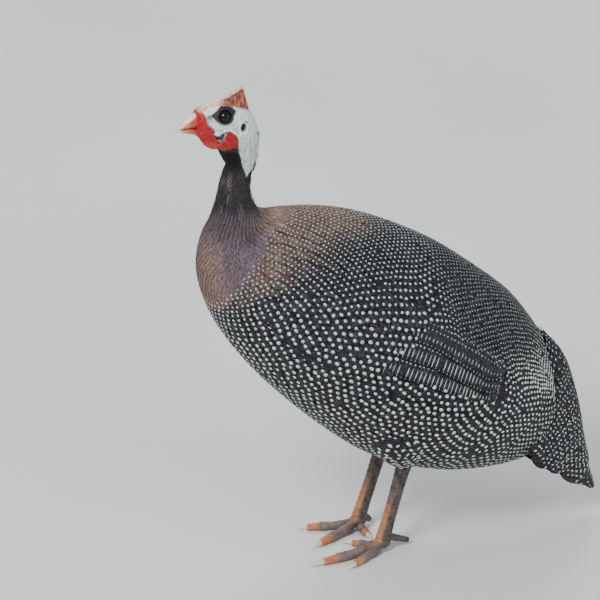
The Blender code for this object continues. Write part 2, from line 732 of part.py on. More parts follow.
def toe_path(start, tip, rise, rows):
    """A toe's middle line: down from the knuckle and level along the floor."""
    share = np.linspace(0.0, 1.0, rows)
    x = start[0] + (tip[0] - start[0]) * share
    y = start[1] + (tip[1] - start[1]) * share
    z = np.interp(share, (0.0, 0.3, 0.55, 1.0), rise)
    return np.stack([x, y, z], axis=-1)


def toe_piece(name, start, tip, radius, grow=0.0):
    rows = 11
    path = toe_path(start, tip, (8.6, radius * 1.04, radius * 0.92, radius * 0.74), rows)
    share = np.linspace(0.0, 1.0, rows)
    pads = 1.0 + 0.09 * np.cos(share * math.tau * 3)
    widths = radius * np.interp(share, (0.0, 0.8, 1.0), (1.0, 0.86, 0.62)) * pads + grow
    return path_object(name, path, widths, widths * 0.98, 10, wide=(tip[1] - start[1], start[0] - tip[0], 0.0),
                       floor=-grow)


def claw_piece(name, start, tip, radius, length):
    """A claw that carries on from the toe's end and bends down to the floor."""
    direction = np.array([tip[0] - start[0], tip[1] - start[1], 0.0])
    direction /= np.linalg.norm(direction)
    share = np.linspace(0.0, 1.0, 6)
    end = np.array([*tip, radius * 0.74])
    path = end + direction * (GAP + length * share)[:, None]
    path[:, 2] += 0.9 * np.sin(share * math.pi) - (radius * 0.74 - 0.8) * share ** 2
    widths = radius * 0.56 * (1 - share) ** 0.75 + 0.35
    return path_object(name, path, widths * 0.85, widths, 7, wide=(direction[1], -direction[0], 0.0), floor=0.0,
                       first=direction)


def make_foot(side_name, leg):
    ankle = leg["ankle"]
    start = (ankle[0], ankle[1] - 1.0)
    knuckle_centre = (ankle[0], ankle[1] - 1.0, ankle[2] - 3.2)

    def knuckle_cutter():
        return ellipsoid("knuckle_cutter", knuckle_centre, [r + GAP for r in KNUCKLE], 7, 14)

    for toe, (tip, radius, claw) in leg["toes"].items():
        piece = toe_piece(toe, start, tip, radius)
        cutters = [knuckle_cutter()]
        if toe != "middle":
            middle_tip, middle_radius, _ = leg["toes"]["middle"]
            cutters.append(toe_piece("middle_cutter", start, middle_tip, middle_radius, GAP))
        combine(piece, cutters, "DIFFERENCE")
        finish_node(keep_largest(piece), f"toe_{toe}_{side_name}", "leg_scales")
        nail = claw_piece("claw", start, tip, radius, claw)
        finish_node(nail, f"claw_{toe}_{side_name}", "claw_horn")
    make_hind_toe(side_name, leg, knuckle_cutter())


def make_hind_toe(side_name, leg, knuckle_cutter):
    ankle, tip = np.array(leg["ankle"]), np.array(leg["hind"])
    start = ankle + (0.0, 2.0, 2.0)
    rows = 8
    share = np.linspace(0.0, 1.0, rows)
    end = np.array([*tip, 4.2])
    path = start + (end - start) * share[:, None]
    widths = np.interp(share, (0.0, 1.0), (3.6, 2.3))
    toe = path_object("hind", path, widths, widths, 10, floor=0.0)
    shank = path_object("shank_cutter", shank_path(leg, 6), np.full(6, 5.9 + GAP), np.full(6, 6.9 + GAP), 14)
    combine(toe, [knuckle_cutter, shank], "DIFFERENCE")
    finish_node(keep_largest(toe), f"toe_hind_{side_name}", "leg_scales")
    direction = (end - start) / np.linalg.norm(end - start)
    claw_share = np.linspace(0.0, 1.0, 6)
    line = end + direction * (GAP + 7.0 * claw_share)[:, None]
    line[:, 2] += 0.6 * np.sin(claw_share * math.pi)
    claw_widths = 1.9 * (1 - claw_share) ** 0.8 + 0.35
    claw = path_object("claw", line, claw_widths, claw_widths, 7, floor=0.4, first=direction)
    finish_node(claw, f"claw_hind_{side_name}", "claw_horn")


def main():
    clear_scene()
    make_torso()
    make_neck()
    make_head()
    make_head_pieces()
    for name, side in (("left", 1), ("right", -1)):
        make_wing(f"wing_{name}", side)
        leg = LEGS[name]
        make_thigh(f"thigh_{name}", leg)
        make_shank(f"shank_{name}", leg)
        make_foot(name, leg)
    make_tail()


main()
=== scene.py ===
"""Looks of a life-size still model of a helmeted guinea fowl.

The sizes are in millimetres, as in the part's own source, and become metres when a mesh
is made. Y is counted from the line through the ankles, the bird faces -Y and its left
side is +X. Feathers are thin closed vanes laid on the body's surface, and their white
pearls are small closed drops on the vanes.
"""
import math

import bpy
import numpy as np
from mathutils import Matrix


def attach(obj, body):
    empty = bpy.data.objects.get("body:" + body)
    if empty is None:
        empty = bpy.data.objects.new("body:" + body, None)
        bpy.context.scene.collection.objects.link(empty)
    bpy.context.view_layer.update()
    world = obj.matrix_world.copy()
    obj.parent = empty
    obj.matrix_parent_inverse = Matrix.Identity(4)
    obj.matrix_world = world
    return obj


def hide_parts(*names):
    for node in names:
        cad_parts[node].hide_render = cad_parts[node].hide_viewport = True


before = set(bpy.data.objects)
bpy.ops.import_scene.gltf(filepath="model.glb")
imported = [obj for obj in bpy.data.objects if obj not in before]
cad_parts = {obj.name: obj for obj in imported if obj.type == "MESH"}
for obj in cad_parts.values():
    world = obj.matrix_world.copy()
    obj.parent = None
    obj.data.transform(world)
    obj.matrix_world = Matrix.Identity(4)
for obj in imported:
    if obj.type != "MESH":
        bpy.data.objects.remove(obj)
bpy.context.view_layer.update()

MM = 0.001
SEED = 23
# The middle of the bird's length, counted from the ankle line.
LENGTH_MIDDLE = 14.5

# Rings of the whole bird from rump to bill: the low point (y, z), the high point (y, z),
# half the width, how far the coat's skin lies under them.
TORSO = (
    ((163.0, 106.0), (164.0, 114.0), 5.0, 1.5),
    ((159.0, 86.0), (163.0, 141.0), 22.0, 2.4),
    ((150.0, 72.0), (156.0, 165.0), 34.0, 2.8),
    ((134.0, 65.0), (143.0, 190.0), 46.0, 2.8),
    ((110.0, 62.0), (122.0, 219.0), 58.0, 2.8),
    ((80.0, 63.0), (88.0, 249.0), 70.0, 2.8),
    ((50.0, 68.0), (55.0, 274.0), 78.0, 2.8),
    ((18.0, 78.0), (18.0, 295.0), 82.0, 2.8),
    ((-14.0, 95.0), (-14.0, 309.0), 81.0, 2.8),
    ((-45.0, 119.0), (-42.0, 316.5), 76.0, 2.8),
    ((-72.0, 144.0), (-62.0, 319.5), 69.0, 2.8),
    ((-97.0, 170.0), (-77.0, 321.0), 60.0, 2.6),
    ((-121.0, 200.0), (-88.0, 322.0), 50.0, 2.4),
    ((-140.0, 231.0), (-95.0, 324.0), 40.5, 2.2),
    ((-151.0, 261.0), (-99.5, 326.0), 32.0, 2.0),
    ((-153.5, 284.0), (-102.0, 328.5), 26.0, 1.8),
    ((-150.0, 304.0), (-103.5, 332.0), 21.5, 1.6),
)
NECK = (
    ((-143.5, 318.0), (-106.0, 337.0), 18.0, 1.5),
    ((-139.0, 332.0), (-108.0, 342.5), 15.0, 1.4),
    ((-136.0, 345.0), (-109.0, 350.0), 13.0, 1.3),
    ((-133.5, 356.0), (-109.3, 357.0), 12.0, 1.2),
    ((-130.5, 366.0), (-108.5, 361.0), 11.3, 1.0),
    ((-128.5, 372.0), (-106.8, 363.5), 11.0, 0.8),
    ((-131.5, 378.0), (-105.0, 365.0), 11.0, 0.6),
    ((-135.2, 386.2), (-104.4, 366.2), 11.2, 0.4),
)
HEAD = (
    ((-138.5, 390.2), (-102.8, 377.0), 12.0, 0.1),
    ((-142.0, 393.2), (-101.3, 390.0), 12.8, 0.0),
    ((-145.5, 395.8), (-101.5, 403.0), 13.6, 0.0),
    ((-148.5, 398.0), (-104.8, 414.0), 14.0, 0.0),
    ((-151.0, 399.8), (-111.0, 422.8), 14.0, 0.0),
    ((-152.8, 401.2), (-120.0, 428.5), 13.6, 0.0),
    ((-154.2, 402.3), (-131.0, 430.5), 12.6, 0.0),
    ((-155.0, 403.2), (-141.5, 430.0), 11.0, 0.0),
    ((-155.6, 403.8), (-150.0, 427.8), 9.0, 0.0),
    ((-156.0, 404.2), (-156.0, 423.6), 6.6, 0.0),
)
NECK_START = len(TORSO) - 1
HEAD_START = NECK_START + len(NECK)

EYE_CENTRE = (6.9, -132.6, 419.9)
EYE_RADIUS = 7.2
EYE_AXIS = (0.9, -0.1, 0.42)
EAR_CENTRE = (13.2, -117.0, 409.8)
NOSTRIL = (-154.0, 421.6)
CERE = (-152.2, 420.9)

LID_RADIUS = 6.0

BILL_UPPER = (
    ((-156.0, 410.2), (-156.0, 423.4), 5.7),
    ((-158.6, 410.2), (-158.6, 422.5), 5.2),
    ((-161.3, 410.3), (-161.3, 420.9), 4.7),
    ((-166.7, 410.0), (-166.7, 417.7), 3.4),
    ((-171.2, 408.6), (-171.2, 413.9), 2.0),
    ((-173.2, 407.4), (-173.4, 411.0), 1.2),
    ((-174.0, 406.8), (-174.2, 408.8), 0.5),
)
BILL_LOWER = (
    ((-155.5, 404.2), (-155.5, 409.9), 4.9),
    ((-161.5, 405.2), (-161.5, 410.0), 3.8),
    ((-166.5, 406.7), (-166.5, 409.6), 2.4),
    ((-169.3, 407.6), (-169.3, 408.9), 1.0),
)
# The bony helmet: a low front on the brow, a rounded peak and a steep rear edge.
HELMET = (
    ((-151.8, 422.0), (-151.8, 425.6), 1.0),
    ((-150.0, 422.0), (-150.0, 428.6), 2.6),
    ((-147.5, 422.0), (-147.5, 430.6), 3.6),
    ((-141.0, 422.0), (-141.0, 433.8), 5.0),
    ((-134.5, 422.0), (-134.0, 435.6), 6.0),
    ((-128.0, 421.0), (-127.0, 437.4), 6.6),
    ((-121.5, 420.0), (-120.5, 440.6), 6.6),
    ((-116.5, 418.0), (-116.0, 443.0), 5.8),
    ((-112.5, 415.0), (-113.3, 441.5), 4.6),
    ((-109.5, 413.0), (-112.0, 434.0), 3.6),
    ((-107.5, 412.0), (-109.5, 425.0), 2.2),
)
# The wattle's two lobes: a path along each one's middle, half its depth and thickness.
WATTLE_FRONT = (
    ((9.0, -153.2, 415.0), 1.8, 0.9),
    ((9.9, -151.6, 410.8), 4.8, 1.4),
    ((10.8, -149.7, 406.2), 6.4, 1.9),
    ((11.7, -146.8, 401.4), 6.0, 2.0),
    ((12.3, -143.2, 397.4), 4.4, 1.7),
    ((12.6, -139.6, 394.8), 1.6, 1.0),
)
WATTLE_REAR = (
    ((12.4, -141.8, 395.2), 1.2, 1.0),
    ((12.9, -136.8, 395.8), 4.2, 1.7),
    ((13.5, -130.8, 396.9), 6.0, 2.2),
    ((14.0, -127.6, 400.2), 5.6, 2.2),
    ((14.0, -128.9, 404.4), 3.3, 1.6),
    ((13.7, -130.6, 408.4), 0.7, 0.8),
)

# The folded wing in side view, as (y, z): its upper and its lower edge, front to tip.
WING_UPPER = ((-98.0, 266.0), (-62.0, 284.0), (-10.0, 277.0), (45.0, 248.0), (95.0, 203.0), (134.0, 152.0))
WING_LOWER = ((-104.0, 244.0), (-72.0, 212.0), (-20.0, 192.0), (40.0, 172.0), (90.0, 152.0), (129.0, 134.0))
WING_RAISE = 0.5

# The tail: its ridge on the middle plane and its outer edge, root to tip, as (x, y, z).
TAIL_RIDGE = (
    (0.0, 158.0, 172.0), (0.0, 173.0, 148.0), (0.0, 184.0, 110.0), (0.0, 191.5, 66.0), (0.0, 202.5, 21.5),
)
TAIL_EDGE = (
    (42.0, 116.0, 92.0), (37.0, 132.0, 74.0), (30.0, 152.0, 60.0), (20.0, 173.0, 47.0), (9.0, 194.0, 26.0),
)
UNDERTAIL_HANG = 3.0

# Legs: the ankle and hock of each, its toes as a tip, a radius and a claw length.
LEGS = {
    "left": {
        "ankle": (24.0, 4.0, 12.0),
        "hock": (22.0, 25.5, 86.0),
        "toes": {
            "middle": ((36.0, -55.0), 4.5, 10.0),
            "outer": ((48.0, -30.0), 4.1, 8.5),
            "inner": ((6.5, -18.5), 3.9, 8.0),
        },
        "hind": (18.5, 29.0),
    },
    "right": {
        "ankle": (-24.0, -2.0, 12.0),
        "hock": (-22.0, 21.0, 86.0),
        "toes": {
            "middle": ((0.0, -45.5), 4.5, 10.0),
            "outer": ((-34.5, -46.5), 4.1, 8.5),
            "inner": ((-4.0, -0.5), 3.9, 7.5),
        },
        "hind": (-30.0, 10.0),
    },
}
# The thigh: places counted outwards, back and up from the hock, half its width and depth.
THIGH = (
    ((-0.3, -1.0, -2.5), 10.5, 11.0),
    ((2.0, -3.0, 5.0), 15.0, 17.0),
    ((12.0, -6.0, 23.0), 24.0, 29.0),
    ((20.0, -9.0, 42.0), 28.5, 37.0),
    ((24.0, -12.0, 60.0), 23.5, 33.0),
    ((27.0, -15.0, 80.0), 9.0, 14.0),
)
SHANK_DEPTH = (7.4, 6.2, 5.7, 5.8, 6.4)
SHANK_WIDTH = (6.0, 4.9, 4.4, 4.5, 5.4)
SCUTE_COUNT = 15
TOE_PLATES = 8
IVORY = "e9dcc4"


def smooth(low, high, x):
    """0 below low, 1 above high and an even S between them."""
    f = np.clip((np.asarray(x, float) - low) / (high - low), 0.0, 1.0)
    return f * f * (3 - 2 * f)


def mix(a, b, f):
    """Colours a and b mixed by f, an array over the points."""
    a, b = srgb(a), srgb(b)
    return a + (b - a) * np.asarray(f)[..., None]


def unit(v):
    return v / np.linalg.norm(v, axis=-1, keepdims=True)


def round_turn(columns):
    """Even angles once round, the last short of the first."""
    return np.linspace(0.0, math.tau, columns, endpoint=False)


def fade(low, high, x):
    """1 below low, 0 above high and an even S between them."""
    return 1 - smooth(low, high, x)


def bell(x, middle, width):
    """1 at the middle, falling off like a bell to both sides."""
    return np.exp(-((x - middle) / width) ** 2)


def srgb(code):
    """A colour of six hexadecimal digits in linear light. A colour that is already in
    linear light comes back as it is."""
    if not isinstance(code, str):
        return np.asarray(code)
    value = np.array([int(code[i:i + 2], 16) for i in (0, 2, 4)]) / 255.0
    return np.where(value < 0.04045, value / 12.92, ((value + 0.055) / 1.055) ** 2.4)


def curve(points, t):
    """Reads a smooth curve through the points, at t counted in points from the first, and
    goes on straight beyond its ends."""
    points = np.asarray(points, float)
    last = len(points) - 1
    place = np.clip(np.asarray(t, float), 0.0, last)
    over = (np.asarray(t, float) - place)[..., None]
    span = np.minimum(place.astype(int), last - 1)
    f = (place - span)[..., None]
    before = points[np.maximum(span - 1, 0)]
    after = points[np.minimum(span + 2, last)]
    start, end = points[span], points[span + 1]
    return 0.5 * (
        2 * start + (end - before) * f
        + (2 * before - 5 * start + 4 * end - after) * f ** 2
        + (3 * start - before - 3 * end + after) * f ** 3
        + np.where(over < 0, points[1] - points[0], points[-1] - points[-2]) * over
    )


def wander(points, size, seed, octaves=3):
    """Soft noise from -1 to 1 at points: sums of sines along turned axes, halved each octave."""
    rng = np.random.default_rng(seed)
    total = np.zeros(points.shape[:-1])
    for octave in range(octaves):
        for _ in range(5):
            axis = unit(rng.normal(size=3)) * math.tau / (size / 2 ** octave)
            total += np.sin(points @ axis + rng.uniform(0, math.tau)) / 5 / 1.6 ** octave
    return total


class Surface:
    """A surface read at places of two numbers, with facing 1 where the way of the first
    crossed with the way of the second looks outwards and -1 where it looks inwards."""

    facing = 1.0
    steps = (0.03, 0.02)

    def slopes(self, place):
        one, two = np.array([self.steps[0], 0.0]), np.array([0.0, self.steps[1]])
        along = (self.point(place + one) - self.point(place - one)) / (2 * self.steps[0])
        around = (self.point(place + two) - self.point(place - two)) / (2 * self.steps[1])
        return along, around

    def normal(self, place):
        along, around = self.slopes(place)
        return unit(np.cross(along, around)) * self.facing

    def __call__(self, place, lift):
        """Points lift millimetres over the surface at place."""
        return self.point(place) + self.normal(place) * np.asarray(lift)[..., None]

    def steer(self, place, vector):
        """The change of place that moves a point on the surface along vector."""
        one, two = self.slopes(place)
        a, b, c = (one * one).sum(-1), (one * two).sum(-1), (two * two).sum(-1)
        p, q = (one * vector).sum(-1), (two * vector).sum(-1)
        det = a * c - b * b
        return np.stack([(p * c - q * b) / det, (q * a - p * b) / det], axis=-1)


class Rings(Surface):
    """A surface through rings, read at s, counted in rings, and turn, 0 at the top.

    Each ring is an ellipse between its low and its high point. Lean makes its lower half
    fuller, and square flattens its sides."""

    def __init__(self, rings, lean=0.0, square=1.0):
        self.lows = np.array([r[0] for r in rings], float)
        self.highs = np.array([r[1] for r in rings], float)
        self.sizes = np.array([r[2:] for r in rings], float)
        self.last = len(rings) - 1
        self.lean = lean
        self.square = square

    def shape(self, s):
        return self.lean, self.square

    def point(self, place):
        s, turn = place[..., 0], place[..., 1]
        low, high, size = curve(self.lows, s), curve(self.highs, s), curve(self.sizes, s)
        lean, square = self.shape(s)
        up = np.sign(np.cos(turn)) * np.abs(np.cos(turn)) ** square
        out = np.sign(np.sin(turn)) * np.abs(np.sin(turn)) ** square
        yz = (low + high) / 2 + (high - low) / 2 * up[..., None]
        return np.stack([size[..., 0] * out * (1 - lean * up), yz[..., 0], yz[..., 1]], axis=-1)

    def slopes(self, place):
        step = self.steps[0]
        inner = np.stack([np.clip(place[..., 0], step, self.last - step), place[..., 1]], axis=-1)
        return super().slopes(inner)


class Body(Rings):
    """The whole bird's outer surface: torso, neck and head without a break."""

    def shape(self, s):
        lean = 0.08 * (1 - smooth(NECK_START - 2, NECK_START, s))
        return lean, 1.0 - 0.12 * smooth(HEAD_START - 0.5, HEAD_START + 1.5, s)

    def depth(self, s):
        return curve(self.sizes, s)[..., 1]

    def from_side(self, yz):
        """Finds s, turn and the share of the half height on the torso's left side at (y, z)."""
        table = np.linspace(0.0, NECK_START, 321)
        low, high = curve(self.lows, table), curve(self.highs, table)
        middle, half = (low + high) / 2, (high - low) / 2
        away = yz[..., None, :] - middle
        across = away[..., 0] * half[:, 1] - away[..., 1] * half[:, 0]
        change = np.sign(across[..., :-1]) != np.sign(across[..., 1:])
        first = np.argmax(change, axis=-1)
        here = np.take_along_axis(across, first[..., None], -1)[..., 0]
        after = np.take_along_axis(across, first[..., None] + 1, -1)[..., 0]
        s = (first + here / (here - after)) * NECK_START / (len(table) - 1)
        low, high = curve(self.lows, s), curve(self.highs, s)
        middle, half = (low + high) / 2, (high - low) / 2
        share = ((yz - middle) * half).sum(-1) / (half ** 2).sum(-1)
        return np.stack([s, np.arccos(np.clip(share, -0.999, 0.999))], axis=-1), share

    def holds(self, points, grow=0.0):
        """Whether points lie inside the torso, seen with its sides moved out by grow."""
        place, share = self.from_side(points[..., 1:])
        side = self.point(place)[..., 0]
        return (np.abs(share) < 0.999) & (np.abs(points[..., 0]) < side + grow)


body = Body(TORSO + NECK + HEAD)


class Wing(Surface):
    """The folded wing on the body's side: a runs from shoulder to tip, b from top to bottom."""

    steps = (0.01, 0.02)

    def __init__(self, side):
        self.side = side
        self.facing = -side
        self.a = np.linspace(-0.06, 1.0, 160)
        self.b = np.linspace(-0.35, 1.35, 90)
        a, b = np.meshgrid(self.a, self.b, indexing="ij")
        upper, lower = curve(WING_UPPER, a * 5), curve(WING_LOWER, a * 5)
        before = np.minimum(a, 0.0)[..., None] * (250.0, -60.0)
        yz = upper + (lower - upper) * b[..., None] + before
        self.table = body.from_side(yz)[0]

    def on_body(self, place):
        """The body's place under a place of the wing, read between the table's points."""
        f = (place[..., 0] - self.a[0]) / (self.a[1] - self.a[0])
        g = (place[..., 1] - self.b[0]) / (self.b[1] - self.b[0])
        i = np.clip(f.astype(int), 0, len(self.a) - 2)
        j = np.clip(g.astype(int), 0, len(self.b) - 2)
        f, g = np.clip(f - i, 0, 1)[..., None], np.clip(g - j, 0, 1)[..., None]
        t = self.table
        near = t[i, j] * (1 - g) + t[i, j + 1] * g
        far = t[i + 1, j] * (1 - g) + t[i + 1, j + 1] * g
        return near * (1 - f) + far * f

    def point(self, place):
        return body(self.on_body(place), np.full(place.shape[:-1], WING_RAISE)) * (self.side, 1.0, 1.0)

    def __call__(self, place, lift):
        return body(self.on_body(place), np.asarray(lift) + WING_RAISE) * (self.side, 1.0, 1.0)


class Tail(Surface):
    """The drooping tail: a runs from root to tip and b from the right edge to the left."""

    steps = (0.01, 0.02)
    facing = -1.0

    def point(self, place):
        a, b = place[..., 0], place[..., 1]
        ridge, edge = curve(TAIL_RIDGE, a * 4), curve(TAIL_EDGE, a * 4)
        turn = np.abs(b) * math.pi / 2
        x = edge[..., 0] * np.sin(turn) * np.sign(b)
        yz = ridge[..., 1:] + (edge[..., 1:] - ridge[..., 1:]) * (1 - np.cos(turn))[..., None]
        return np.stack([x, yz[..., 0], yz[..., 1]], axis=-1)

    def normal(self, place):
        turn = np.clip(place[..., 1], -1.2, 1.2) * math.pi / 2
        return unit(np.stack([np.sin(turn), np.cos(turn) * 0.94, np.cos(turn) * 0.34], axis=-1))


class UnderTail(Surface):
    """The tail's hollow underside, from its root to its tip and from edge to edge."""

    steps = (0.01, 0.02)
    facing = 1.0

    def point(self, place):
        a, b = place[..., 0], place[..., 1]
        edge = curve(TAIL_EDGE, a * 4)
        hang = (1 - b ** 2) * UNDERTAIL_HANG
        return np.stack([edge[..., 0] * b, edge[..., 1] - 0.75 * hang, edge[..., 2] - 0.66 * hang], axis=-1)


class Limb(Surface):
    """A tube along a path, read at t, counted in its stations, and turn, 0 on the +X side."""

    facing = -1.0

    def __init__(self, path, widths, depths):
        self.path = np.asarray(path, float)
        self.sizes = np.stack([widths, depths], axis=-1).astype(float)

    def point(self, place):
        t, turn = place[..., 0], place[..., 1]
        ahead = unit(curve(self.path, t + 0.05) - curve(self.path, t - 0.05) + (0.0, 0.0, 1e-6))
        wide = np.array([1.0, 0.0, 0.0])
        side = unit(wide - ahead * (ahead @ wide)[..., None])
        over = np.cross(ahead, side)
        size = curve(self.sizes, t)
        return (curve(self.path, t) + side * (size[..., 0] * np.cos(turn))[..., None]
                + over * (size[..., 1] * np.sin(turn))[..., None])


# Pieces as meshes

def layers(base, *coats):
    """Lays colours over a base in turn, each with the share of it that covers."""
    for tone, share in coats:
        base = mix(base, tone, share)
    return base


def grid(one, two):
    """All the places of two numbers, the first from one and the second from two."""
    return np.stack(np.meshgrid(one, two, indexing="ij"), axis=-1)


def make_piece(name, arrays, material, slot, *replaced):
    """Makes a smooth mesh piece from its points, quads, tris, paint and unwrap for baking,
    the last two of which may be None, in place of the nodes that are named."""
    points, quads, tris, paint, bake = arrays
    placed = (points - (0.0, LENGTH_MIDDLE, 0.0)) * MM
    mesh = bpy.data.meshes.new(name)
    corners = np.concatenate([quads.ravel(), tris.ravel()])
    starts = np.concatenate([np.arange(len(quads)) * 4, len(quads) * 4 + np.arange(len(tris)) * 3])
    mesh.vertices.add(len(placed))
    mesh.vertices.foreach_set("co", placed.astype(np.float32).ravel())
    mesh.loops.add(len(corners))
    mesh.loops.foreach_set("vertex_index", corners.astype(np.int32))
    mesh.polygons.add(len(starts))
    mesh.polygons.foreach_set("loop_start", starts.astype(np.int32))
    mesh.update(calc_edges=True)
    mesh.validate()
    mesh.shade_smooth()
    if paint is not None:
        layer = mesh.color_attributes.new("paint", "FLOAT_COLOR", "POINT")
        full = np.concatenate([paint, np.ones((len(paint), 1))], axis=1)
        layer.data.foreach_set("color", full.astype(np.float32).ravel())
    if bake is not None:
        layer = mesh.uv_layers.new(name="OFBake")
        layer.uv.foreach_set("vector", bake[corners].astype(np.float32).ravel())
    obj = bpy.data.objects.new(name, mesh)
    bpy.context.scene.collection.objects.link(obj)
    mesh.materials.append(material)
    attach(obj, "root")
    if replaced:
        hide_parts(*replaced)


def tube_mesh(rings):
    """Points, quads and tris of a closed tube through rings (rows, columns, 3), run along
    the path with the columns turning so that the faces look outwards."""
    rows, columns = rings.shape[:2]
    grid = np.arange(rows * columns).reshape(rows, columns)
    right = np.roll(grid, -1, axis=1)
    quads = np.stack([grid[:-1], right[:-1], right[1:], grid[1:]], axis=-1).reshape(-1, 4)
    first, last = rows * columns, rows * columns + 1
    caps = np.concatenate([
        np.stack([right[0], grid[0], np.full(columns, first)], axis=-1),
        np.stack([grid[-1], right[-1], np.full(columns, last)], axis=-1),
    ])
    points = np.concatenate([rings.reshape(-1, 3), [rings[0].mean(axis=0), rings[-1].mean(axis=0)]])
    return points, quads, caps


def path_rings(path, widths, depths, columns, wide=(1.0, 0.0, 0.0)):
    """Elliptical rings along a path, half a width along wide and half a depth across it."""
    ahead = unit(np.gradient(path, axis=0))
    side = unit(np.asarray(wide) - ahead * (ahead @ np.asarray(wide))[:, None])
    over = np.cross(ahead, side)
    turn = round_turn(columns)
    return (
        path[:, None]
        + side[:, None] * (widths[:, None] * np.cos(turn))[..., None]
        + over[:, None] * (depths[:, None] * np.sin(turn))[..., None]
    )


def mirrored(mesh, side):
    """A mesh of the left side, or of the right one where side is -1."""
    points, quads, tris = mesh
    return points * (side, 1.0, 1.0), quads[:, ::side], tris[:, ::side]


def painted(mesh, tone):
    """A mesh with its paint: a function of the points, or one colour."""
    points = mesh[0]
    paint = tone(points) if callable(tone) else np.tile(srgb(tone), (len(points), 1))
    return *mesh, paint, None


def join(parts):
    """Joins (points, quads, tris, paint, bake) parts into one set of arrays."""
    points, quads, tris, paints, bakes = zip(*parts)
    shifts = np.cumsum([0] + [len(part) for part in points[:-1]])
    return (
        np.concatenate(points),
        np.concatenate([faces + shift for faces, shift in zip(quads, shifts)]),
        np.concatenate([faces + shift for faces, shift in zip(tris, shifts)]),
        np.concatenate(paints),
        None if bakes[0] is None else np.concatenate(bakes),
    )


# Materials

class Value:
    """A shader socket that takes part in Python maths."""

    def __init__(self, shader, socket):
        self.shader = shader
        self.socket = socket

    def math(self, operation, *pair):
        return self.shader.node("ShaderNodeMath", {"operation": operation}, dict(enumerate(pair)))

    def __add__(self, other):
        return self.math("ADD", self, other)

    def __sub__(self, other):
        return self.math("SUBTRACT", self, other)

    def __rsub__(self, other):
        return self.math("SUBTRACT", other, self)

    def __mul__(self, other):
        return self.math("MULTIPLY", self, other)

    def __abs__(self):
        return self.math("ABSOLUTE", self)


class Shader:
    """A material's node tree and the few ways this script adds to it."""

    def __init__(self, name):
        self.material = bpy.data.materials.new(name)
        self.material.use_nodes = True
        self.tree = self.material.node_tree
        self.surface = self.tree.nodes["Principled BSDF"]

    def node(self, kind, settings, inputs, output=0):
        made = self.tree.nodes.new(kind)
        for key, value in settings.items():
            setattr(made, key, value)
        for key, value in inputs.items():
            self.feed(made.inputs[key], value)
        return Value(self, made.outputs[output])

    def feed(self, socket, value):
        if isinstance(value, Value):
            self.tree.links.new(value.socket, socket)
        else:
            socket.default_value = value

    def place(self):
        return self.node("ShaderNodeTexCoord", {}, {}, "Object")

    def paint(self):
        return self.node("ShaderNodeAttribute", {"attribute_name": "paint"}, {}, "Color")

    def noise(self, scale, detail=3.0, rough=0.5, place=None):
        return self.node("ShaderNodeTexNoise", {}, {
            "Vector": place or self.place(), "Scale": scale, "Detail": detail, "Roughness": rough,
        })

    def cells(self, scale, feature="F1"):
        inputs = {"Vector": self.place(), "Scale": scale}
        return self.node("ShaderNodeTexVoronoi", {"feature": feature}, inputs)

    def range(self, value, low, high, out_low=0.0, out_high=1.0):
        return self.node("ShaderNodeMapRange", {"interpolation_type": "SMOOTHSTEP"}, {
            "Value": value, "From Min": low, "From Max": high, "To Min": out_low, "To Max": out_high,
        })

    def blend(self, factor, first, second, mode="MIX"):
        inputs = {0: factor, 6: first, 7: second}
        return self.node("ShaderNodeMix", {"data_type": "RGBA", "blend_type": mode}, inputs, 2)

    def bump(self, height, distance, strength):
        inputs = {"Height": height, "Distance": distance * MM, "Strength": strength}
        self.feed(self.surface.inputs["Normal"], self.node("ShaderNodeBump", {}, inputs))

    def set(self, roughness, gloss, **values):
        """Sets the surface's inputs, named with low lines for blanks, and gives the material."""
        for key, value in {"Roughness": roughness, "Specular_IOR_Level": gloss, **values}.items():
            self.feed(self.surface.inputs[key.replace("_", " ")], value)
        return self.material

    def shaded(self, base, shade, roughness, gloss, **values):
        """Sets the surface with its base colour made lighter and darker by a grey shade."""
        grey = self.node("ShaderNodeCombineColor", {}, {0: shade, 1: shade, 2: shade})
        return self.set(roughness, gloss, Base_Color=self.blend(1.0, base, grey, "MULTIPLY"), **values)


def colour(code):
    return (*[float(c) for c in srgb(code)], 1.0)


def plumage_material():
    """Dark vanes: their paint, thin wavy grey lines across it and soft barbs."""
    shader = Shader("plumage vanes")
    line = 1 - shader.range(abs(shader.noise(300.0, 2.0) - 0.5), 0.0, 0.035)
    lit = shader.blend(line * 0.4, shader.paint(), colour("77787c"))
    shader.bump(shader.noise(900.0, 2.0), 0.12, 0.5)
    return shader.shaded(lit, shader.range(shader.noise(140.0, 2.0), 0.3, 0.7, 0.75, 1.15), 0.6, 0.22)


def pearl_material():
    """The white pearls, their paint with a little soft unevenness."""
    shader = Shader("pearls")
    shade = shader.range(shader.noise(500.0, 2.0), 0.35, 0.65, 0.88, 1.04)
    return shader.shaded(shader.paint(), shade, 0.6, 0.3)


def bristle_material():
    """The short feathers of neck and collar, streaked by fine noise."""
    shader = Shader("neck feathers")
    shader.bump(shader.noise(1100.0, 2.0), 0.1, 0.4)
    return shader.shaded(shader.paint(), shader.range(shader.noise(420.0), 0.3, 0.7, 0.7, 1.25), 0.65, 0.22)


def skin_material():
    """Bare skin: its paint, fine pores and wrinkles, and a soft gloss."""
    shader = Shader("bare skin")
    folds = shader.noise(380.0, 4.0, 0.6)
    shader.bump(folds * 0.7 + shader.cells(1100.0) * 0.5, 0.35, 0.7)
    return shader.shaded(shader.paint(), shader.range(folds, 0.32, 0.68, 0.86, 1.06), 0.5, 0.45,
                         Subsurface_Weight=0.12, Subsurface_Scale=0.002, Subsurface_Radius=(1.0, 0.4, 0.25))


